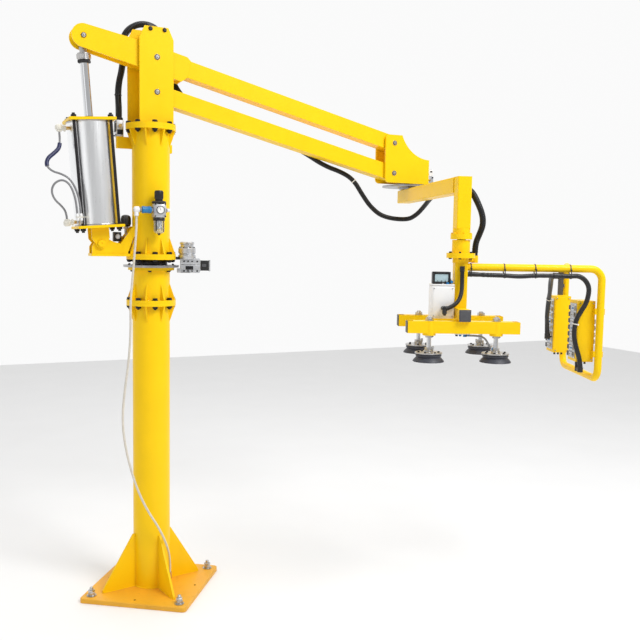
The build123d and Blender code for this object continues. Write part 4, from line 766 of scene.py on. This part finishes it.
air.turned([(0, 0), (0.0184, 0), (0, 0.0004)], (0, -0.0376, 0.003), DIAL, (0, -1, 0), 40)
for k in range(11):
    a = radians(225 - 27 * k)
    turn = Matrix.Translation((0, -0.0383, 0.003)) @ Matrix.Rotation(-a, 4, "Y")
    air.block((0.013, -0.0002, -0.0004), (0.0168, 0.0002, 0.0004), BLACK, 0.0001, turn)
air.block((-0.003, -0.0003, -0.0005), (0.0135, 0.0003, 0.0005), DARK, 0.0001,
          Matrix.Translation((0, -0.039, 0.003)) @ Matrix.Rotation(radians(-115), 4, "Y"))
air.rod((0, -0.038, 0.003), (0, -0.0397, 0.003), 0.002, BRASS)
for x in (-0.027, 0.027):
    for z in (-0.03, 0.033):
        air.cap_screw((x, -0.028, z), (0, -1, 0), 0.005, DARK)
air.rod((-0.03, 0, 0.003), (-0.136, 0, 0.003), 0.0085, STEEL)
for start, end, r in ((-0.033, -0.042, 0.0155), (-0.094, -0.104, 0.0145), (0.033, 0.044, 0.0135)):
    h = abs(end - start)
    air.turned([(0.008, 0), (r * 0.94, 0), (r, 0.001), (r, h - 0.001), (r * 0.94, h), (0.008, h)],
               (start, 0, 0.003), STEEL, (1 if end > start else -1, 0, 0), 6, ring=True)
air.turned([(0.008, 0), (0.0165, 0), (0.019, 0.003), (0.019, 0.012), (0.0178, 0.014), (0.0178, 0.036),
            (0.019, 0.038), (0.019, 0.047), (0.0165, 0.05), (0.008, 0.05)], (-0.042, 0, 0.003), BLUE,
           (-1, 0, 0), 36, ring=True)
air.turned([(0, 0), (0.013, 0), (0.0162, 0.003), (0.0162, 0.02), (0.014, 0.027), (0.009, 0.03),
            (0, 0.03)], (-0.105, 0, 0.003), WHITE, (-1, 0, 0), 36)
air.turned([(0, 0), (0.0135, 0), (0.0135, 0.01), (0.0108, 0.012), (0.0108, 0.02), (0.0118, 0.022),
            (0.0118, 0.032), (0.0095, 0.034), (0, 0.034)], (-0.12, 0, 0.003), WHITE, (0, 0, -1), 32)
air.rod((0.033, 0, 0.003), (0.06, 0, 0.003), 0.009, WHITE, 0.002)
air.block((-0.022, 0.03, -0.019), (0.022, 0.0535, 0.025), CAST, 0.002)
air.done("air_preparation_set", "turret", ("filter_regulator",))

bowl = Piece(FILTER)
bowl.turned([(0, -0.121), (0.017, -0.1205), (0.0245, -0.115), (0.0282, -0.106), (0.0282, -0.05),
             (0.0255, -0.05), (0.0255, -0.104), (0.022, -0.112), (0.016, -0.1165), (0, -0.117)], (0, 0, 0),
            BOWL, count=44)
bowl.turned([(0, -0.054), (0.029, -0.054), (0.031, -0.051), (0.031, -0.04), (0.029, -0.037), (0, -0.037)],
            (0, 0, 0), BLACK, count=44)
bowl.turned([(0, -0.096), (0.011, -0.096), (0.0135, -0.093), (0.0135, -0.06), (0.0155, -0.058),
             (0.0155, -0.054), (0, -0.054)], (0, 0, 0), WHITE, count=32)
for k in range(4):
    turn = Matrix.Rotation(radians(90 * k + 45), 4, "Z")
    bowl.block((0.0284, -0.0035, -0.11), (0.0296, 0.0035, -0.05), BLACK, 0.0005, turn)
bowl.turned([(0, -0.13), (0.0055, -0.13), (0.0055, -0.126), (0.008, -0.125), (0.008, -0.1195),
             (0, -0.1195)], (0, 0, 0), BLACK, count=24)
bowl.done("filter_bowl_clear", "turret", ("filter_bowl",))

# ---- column brake ----
brake = Piece(BRAKE)
brake.block((0.1575, -0.03, 1.8352), (0.265, 0.03, 1.869), CAST, 0.004)
brake.block((0.1575, -0.03, 1.788), (0.265, 0.03, 1.8348), CAST, 0.004)
brake.block((0.14, -0.03, 1.788), (0.215, 0.03, 1.8115), CAST, 0.004)
brake.block((0.135, -0.026, 1.8605), (0.176, 0.026, 1.876), DARK, 0.002)
brake.turned([(0, 0), (0.046, 0), (0.048, 0.003), (0.048, 0.02), (0.042, 0.024), (0.042, 0.028),
              (0.048, 0.032), (0.048, 0.058), (0.044, 0.062), (0.036, 0.064), (0.036, 0.078),
              (0.04, 0.081), (0.04, 0.09), (0.034, 0.095), (0, 0.095)], (0.195, 0, 1.865), CAST, count=56)
for k, a, x, y in spots(8, 0.0415, 20, 0.195):
    brake.cap_screw((x, y, 1.9262), (0, 0, 1), 0.006, DARK)
brake.rod((0.195, -0.03, 1.95), (0.195, -0.052, 1.95), 0.008, STEEL)
brake.block((0.262, -0.024, 1.801), (0.3215, 0.024, 1.857), BLACK, 0.003)
for x in (0.2605, 0.3145):
    for y in (-0.026, 0.0215):
        brake.block((x, y, 1.7985), (x + 0.0075, y + 0.0045, 1.8595), CAST, 0.001)
    for z in (1.7985, 1.855):
        brake.block((x, -0.026, z), (x + 0.0075, 0.026, z + 0.0045), CAST, 0.001)
brake.block((0.276, -0.0262, 1.822), (0.3, -0.0235, 1.838), CAP, 0.001)
for x in (0.178, 0.2, 0.222, 0.25):
    for z in (1.799, 1.852):
        brake.cap_screw((x, -0.03, z), (0, -1, 0), 0.006, DARK)
brake.block((0.186, -0.0312, 1.806), (0.228, -0.0295, 1.826), DARK, 0.001)
brake.done("column_brake_caliper", "turret", ("column_brake",))

pads = Piece()
for k, a, x, y in spots(8, 0.128, 8):
    pads.cap_screw((x, y, 1.83), (0, 0, 1), 0.007, DARK)
pads.done("brake_disc_screws", "base")

caliper = Piece(WRIST)
caliper.block((0.104, -0.03, 2.35), (0.162, 0.03, 2.396), CAST, 0.004)
caliper.block((0.107, -0.028, 2.3965), (0.16, 0.028, 2.44), WHITE, 0.005)
caliper.rod((0.132, 0, 2.3312), (0.132, 0, 2.352), 0.017, STEEL)
caliper.rod((0.15, -0.012, 2.44), (0.15, -0.012, 2.4425), 0.006, DARK)
caliper.block((0.113, -0.031, 2.404), (0.129, -0.0275, 2.414), BLACK, 0.001)
caliper.block((0.137, -0.031, 2.422), (0.153, -0.0275, 2.43), BLACK, 0.001)
caliper.rod((0.133, -0.029, 2.372), (0.133, -0.036, 2.372), 0.007, BRASS)
for x in (0.111, 0.155):
    for z in (2.357, 2.389):
        caliper.cap_screw((x, -0.03, z), (0, -1, 0), 0.006, DARK)
caliper.done("wrist_brake_caliper", "wrist", ("wrist_brake",))

wrist_bolts = Piece(WRIST)
for k, a, x, y in spots(6, 0.04, 30):
    wrist_bolts.cap_screw((x, y, 2.416), (0, 0, 1), 0.008, DARK)
wrist_bolts.done("wrist_bearing_screws", "wrist")

# ---- swivel housing ----
ring_bolts = Piece(TOOL)
for k, a, x, y in spots(6, 0.0595, 15):
    ring_bolts.cap_screw((x, y, 1.927), (0, 0, 1), 0.008, DARK)
    ring_bolts.bolt((x, y, 1.902), (0, 0, -1), 0.007, DARK, spin=k)
ring_bolts.done("swivel_housing_screws", "tool")
collar = Piece(FOREARM @ Matrix.Translation((1.101, 0, 0)))
for k, a, x, y in spots(6, 0.048):
    collar.cap_screw((x, y, 2.0228), (0, 0, 1), 0.007, YELLOW)
collar.block((-0.04, -0.006, 2.03), (-0.052, 0.006, 2.046), STEEL, 0.002)
collar.done("collar_screws", "forearm")

# ---- vacuum unit ----
unit = Piece(TOOL)
unit.block((-0.1505, -0.062, 1.6), (-0.0365, 0.038, 1.7625), WHITE, 0.005)
unit.block((-0.1505, -0.062, 1.7635), (-0.0365, 0.038, 1.7712), WHITE, 0.003)
unit.block((-0.1445, -0.0632, 1.608), (-0.0425, -0.0612, 1.755), WHITE, 0.002)
for x in (-0.14, -0.047):
    for z in (1.612, 1.751):
        unit.cap_screw((x, -0.063, z), (0, -1, 0), 0.004, STEEL)
unit.block((-0.0375, -0.025, 1.69), (-0.0322, 0.025, 1.75), STEEL, 0.001)
unit.block((-0.1455, -0.036, 1.7716), (-0.0555, 0.002, 1.8325), BLACK, 0.006)
for left, right, low, high in ((-0.1455, -0.0555, 1.7716, 1.78), (-0.1455, -0.0555, 1.824, 1.8325),
                               (-0.1455, -0.137, 1.7716, 1.8325), (-0.064, -0.0555, 1.7716, 1.8325)):
    unit.block((left, -0.0425, low), (right, -0.036, high), BLACK, 0.002)
unit.block((-0.134, -0.0375, 1.783), (-0.067, -0.0355, 1.821), SCREEN, 0.001)
for x in (-0.12, -0.101, -0.082):
    unit.rod((x, -0.0372, 1.7865), (x, -0.0392, 1.7865), 0.0025, DARK)
unit.rod((-0.05, -0.03, 1.771), (-0.05, -0.03, 1.786), 0.008, STEEL)
unit.rod((-0.05, -0.03, 1.783), (-0.05, -0.048, 1.783), 0.007, BLUE)
unit.rod((-0.072, -0.052, 1.7705), (-0.072, -0.052, 1.78), 0.007, BLUE)
unit.rod((-0.095, -0.053, 1.7705), (-0.095, -0.053, 1.778), 0.006, STEEL)
unit.rod((-0.05, -0.03, 1.786), (-0.05, -0.03, 1.799), 0.0045, CREAM)
unit.done("vacuum_unit_housing", "tool", ("vacuum_unit",))


def coupling(piece, start, end, radius, finish=BLACK):
    """A moulded fitting with a lip at each end."""
    axis = Vector(end) - Vector(start)
    length = axis.length
    lip = min(0.004, length * 0.22)
    rim, waist = radius * 0.92, radius * 0.93
    piece.turned([(0, 0), (rim, 0), (radius, lip * 0.25), (radius, lip), (waist, lip * 1.2),
                  (waist, length - lip * 1.2), (radius, length - lip), (radius, length - lip * 0.25),
                  (rim, length), (0, length)], start, finish, axis.normalized(), 32)


fittings = Piece(TOOL)
for start, end, radius, *finish in (
        ((0.0325, -0.016, 1.822), (0.044, -0.016, 1.822), 0.014),
        ((0.47, -0.02, 1.82), (0.5, -0.02, 1.82), 0.016),
        ((0.485, -0.02, 1.82), (0.485, -0.002, 1.82), 0.014),
        ((0.64, 0.008, 1.35), (0.64, 0.008, 1.326), 0.015),
        ((0.64, 0.008, 1.338), (0.64, 0.06, 1.338), 0.01),
        ((0.64, 0.06, 1.325), (0.64, 0.06, 1.376), 0.011),
        ((0.622, 0.43, 1.462), (0.594, 0.43, 1.462), 0.01),
        ((0.594, 0.43, 1.45), (0.594, 0.43, 1.478), 0.015),
        ((0, -0.0325, 1.85), (0, -0.05, 1.85), 0.01),
        ((0, -0.05, 1.862), (0, -0.05, 1.836), 0.013),
        ((-0.094, -0.062, 1.652), (-0.094, -0.104, 1.652), 0.011),
        ((-0.094, -0.092, 1.652), (-0.078, -0.092, 1.652), 0.013),
        ((0.01, -0.107, 1.532), (0.01, -0.107, 1.514), 0.008, BLUE),
        ((0.01, -0.107, 1.521), (0.02, -0.107, 1.521), 0.007),
        ((0.148, -0.107, 1.457), (0.16, -0.107, 1.448), 0.007, BLUE)):
    coupling(fittings, start, end, radius, *finish)
fittings.turned([(0, 0), (0.006, 0), (0.0115, 0.003), (0.0115, 0.02), (0.008, 0.024), (0.005, 0.03),
                 (0, 0.031)], (-0.094, -0.104, 1.648), BLACK, (0, -0.25, -1), 28)
for x, finish in ((-0.03, BLACK), (-0.012, BLUE), (0.028, BLUE)):
    coupling(fittings, (x, -0.107, 1.532), (x, -0.107, 1.517), 0.0065, finish)
fittings.block((-0.04, -0.12, 1.5255), (0.036, -0.094, 1.5325), CAST, 0.002)
fittings.done("hose_fittings", "tool", ("tool_fittings",))

# ---- cups ----
PLACES = [(x, y) for y in CUP_ROWS for x in (-CUP_REACH, CUP_REACH)]
cups = Piece(TOOL)
for n, (x, y) in enumerate(PLACES):
    cups.turned([(0, 1.4125), (0.046, 1.4125), (0.056, 1.409), (0.066, 1.4), (0.0735, 1.3902),
                 (0.0778, 1.39), (0.078, 1.3915), (0.0745, 1.3975), (0.0665, 1.4065), (0.06, 1.4125),
                 (0.064, 1.4185), (0.065, 1.4235), (0.062, 1.4292), (0.0, 1.4298)], (x, y, 0), RUBBER,
                count=56)
    cups.turned([(0, 1.4298), (0.067, 1.4298), (0.068, 1.4306), (0.068, 1.4352), (0.0672, 1.436),
                 (0.024, 1.436), (0.022, 1.4375), (0.022, 1.446), (0.0205, 1.4475), (0, 1.4475)], (x, y, 0),
                STEEL, count=56)
    cups.turned([(0.0115, 0), (0.0195, 0.001), (0.0195, 0.012), (0.0115, 0.013)], (x, y, 1.4475), STEEL,
                count=6, ring=True, spin=n)
    for k, a, u, v in spots(6, 0.05, 10 * n, x, y):
        cups.bolt((u, v, 1.436), (0, 0, 1), 0.006, DARK, spin=a)
    side = 1 if x < 0 else -1
    cups.rod((x, y, 1.4535), (x + side * 0.022, y, 1.4535), 0.0065, STEEL)
    cups.rod((x + side * 0.02, y, 1.447), (x + side * 0.02, y, 1.466), 0.006, CAST)
cups.done("suction_cup_set", "tool", ("suction_cups",))

stems = Piece(TOOL)
for n, (x, y) in enumerate(PLACES):
    stems.turned([(0.0115, 0), (0.0185, 0.001), (0.0185, 0.01), (0.0115, 0.011)], (x, y, 1.5085), STEEL,
                 count=36, ring=True)
    stems.cap_screw((x + 0.0183, y, 1.514), (1, 0, 0), 0.004, DARK)
    stems.turned([(0, 0), (0.0215, 0), (0.0218, 0.0025), (0, 0.0025)], (x, y, 1.5922), STEEL, count=36)
    stems.turned([(0, 0.002), (0.0185, 0.002), (0.0195, 0.003), (0.0195, 0.0135), (0.017, 0.016),
                  (0, 0.016)], (x, y, 1.5922), STEEL, count=6, spin=0.6 * n)
    stems.turned([(0, 0.015), (0.0125, 0.015), (0.0115, 0.02), (0.007, 0.0235), (0, 0.0245)],
                 (x, y, 1.5922), STEEL, count=28)
    stems.turned([(0.0315, 0), (0.0335, 0), (0.0325, -0.01), (0.0322, -0.012), (0.0315, -0.012)],
                 (x, y, 1.5325), YELLOW, count=48, ring=True)
stems.done("cup_stem_nuts", "tool")

caps = Piece(TOOL)
for y, s in ((-0.15, -1), (0.272, 1)):
    for half, deep, low, high, ease in ((0.0295, 0.005, 1.5925, 1.6515, 0.0025),
                                        (0.024, 0.0065, 1.598, 1.646, 0.002)):
        near, far = sorted((y, y + s * deep))
        caps.block((-half, near, low), (half, far, high), CAP, ease)
for y in CUP_ROWS:
    caps.block((-0.2815, y - 0.029, 1.533), (-0.2775, y + 0.029, 1.591), CAP, 0.0025)
    caps.block((0.2775, y - 0.029, 1.533), (0.2808, y + 0.029, 1.591), YELLOW, 0.0025)
caps.done("tube_end_caps", "tool")

# ---- handle ----
ties = Piece(TOOL)
for x, y, z, r in ((0.052, -0.016, 1.8216, 0.0122), (0.222, -0.0195, 1.8175, 0.0122),
                   (0.38, -0.0202, 1.8192, 0.0122), (0.56, -0.0207, 1.8196, 0.0132)):
    ties.strap([(0, 1.857, 0.0192), (y, z, r)], x, 0.0055, 0.0016, BLACK)
    ties.block((x - 0.004, y - 0.009, z + 0.026), (x + 0.004, y - 0.001, z + 0.034), BLACK, 0.0015)
ties.done("handle_cable_ties", "tool")

for name, y in (("near_box_hardware", 0.03), ("far_box_hardware", 0.4)):
    box = Piece(TOOL)
    box.block((0.626, y - 0.0016, 1.38), (0.708, y + 0.001, 1.688), YELLOW, 0.0008)
    box.block((0.626, y + 0.119, 1.38), (0.708, y + 0.1216, 1.688), YELLOW, 0.0008)
    for x in (0.633, 0.701):
        for z in (1.388, 1.68):
            box.cap_screw((x, y - 0.0014, z), (0, -1, 0), 0.005, STEEL)
    for side, x in ((-1, 0.6215), (1, 0.7125)):
        box.block((min(x, x + side * 0.004), y + 0.014, 1.392), (max(x, x + side * 0.004), y + 0.106, 1.676),
                  CAST, 0.001)
        for k in range(8):
            z = 1.398 + 0.0345 * k
            lo, hi = sorted((x + side * 0.003, x + side * 0.0135))
            if side < 0 or all(abs(z + 0.0125 - clamp) > 0.03 for clamp in CLAMP_HEIGHTS):
                box.block((lo, y + 0.02, z), (hi, y + 0.072, z + 0.025), CAST if k % 2 else STEEL, 0.0015)
                box.block((lo, y + 0.074, z + 0.001), (hi, y + 0.102, z + 0.024), BLACK, 0.002)
                a, b = x + side * 0.012, x + side * 0.0185
                for v, finish in ((0.032, BLUE if k % 3 == 1 else STEEL), (0.052, STEEL)):
                    box.rod((a, y + v, z + 0.0125), (b, y + v, z + 0.0125), 0.0045, finish)
    for x in (0.64, 0.66, 0.68):
        if name == "far_box_hardware" or x > 0.655:
            coupling(box, (x, y + 0.03, 1.376), (x, y + 0.03, 1.362), 0.006)
    box.done(name, "tool")

# Dark grey channel above the far box: painted shade, standing in for the shaded web of the bracket there.
channel = Piece(TOOL)
channel.block((0.676, 0.5195, 1.64), (0.704, 0.5215, 1.842), CAP, 0.0008)
channel.block((0.676, 0.5195, 1.64), (0.679, 0.5325, 1.842), CAP, 0.0008)
channel.block((0.701, 0.5195, 1.64), (0.704, 0.5325, 1.842), CAP, 0.0008)
channel.block((0.6985, 0.5205, 1.735), (0.7115, 0.55, 1.755), CAP, 0.0015)
channel.done("channel_painted_shade", "tool")

# ---- stage ----
PALE = look("pale_floor", (0.85, 0.85, 0.85), 0.6, vary=0.01, scale=2, bump=0.05, grain=60)
floor = Piece()
floor.prism([(-9, -9), (11, -9), (11, 9), (-9, 9)], -0.02, -0.0005, PALE)
floor.done("floor", None)


def soft_light(name, at, aim, size, power):
    """A rectangular lamp that faces a point."""
    lamp = bpy.data.lights.new(name, "AREA")
    lamp.shape = "RECTANGLE"
    lamp.size, lamp.size_y = size
    lamp.energy = power
    made = placed(name, lamp)
    made.location = at
    made.rotation_euler = (Vector(aim) - Vector(at)).to_track_quat("-Z", "Y").to_euler()


soft_light("key", (2.6, -4.4, 6.2), (0.5, 0, 1.9), (2.6, 2.6), 300)
soft_light("fill", (-4.6, -4.0, 2.6), (0.2, 0, 1.6), (2.4, 3.0), 14)
soft_light("top", (0.6, 0.4, 6.5), (0.6, 0, 1.0), (4, 4), 70)
world = bpy.data.worlds.new("studio")
world.use_nodes = True
sky = world.node_tree
facing = sky.nodes.new("ShaderNodeTexCoord")
split = sky.nodes.new("ShaderNodeSeparateXYZ")
fade = sky.nodes.new("ShaderNodeMapRange")
for key, value in (("From Min", -0.6), ("From Max", 0.35), ("To Min", 0.5), ("To Max", 0.96)):
    fade.inputs[key].default_value = value
sky.links.new(facing.outputs["Generated"], split.inputs[0])
sky.links.new(split.outputs["Y"], fade.inputs["Value"])
sky.links.new(fade.outputs[0], sky.nodes["Background"].inputs["Strength"])
sky.nodes["Background"].inputs["Color"].default_value = (1, 1, 1, 1)
bpy.context.scene.world = world
bpy.context.scene.view_settings.view_transform = "Standard"
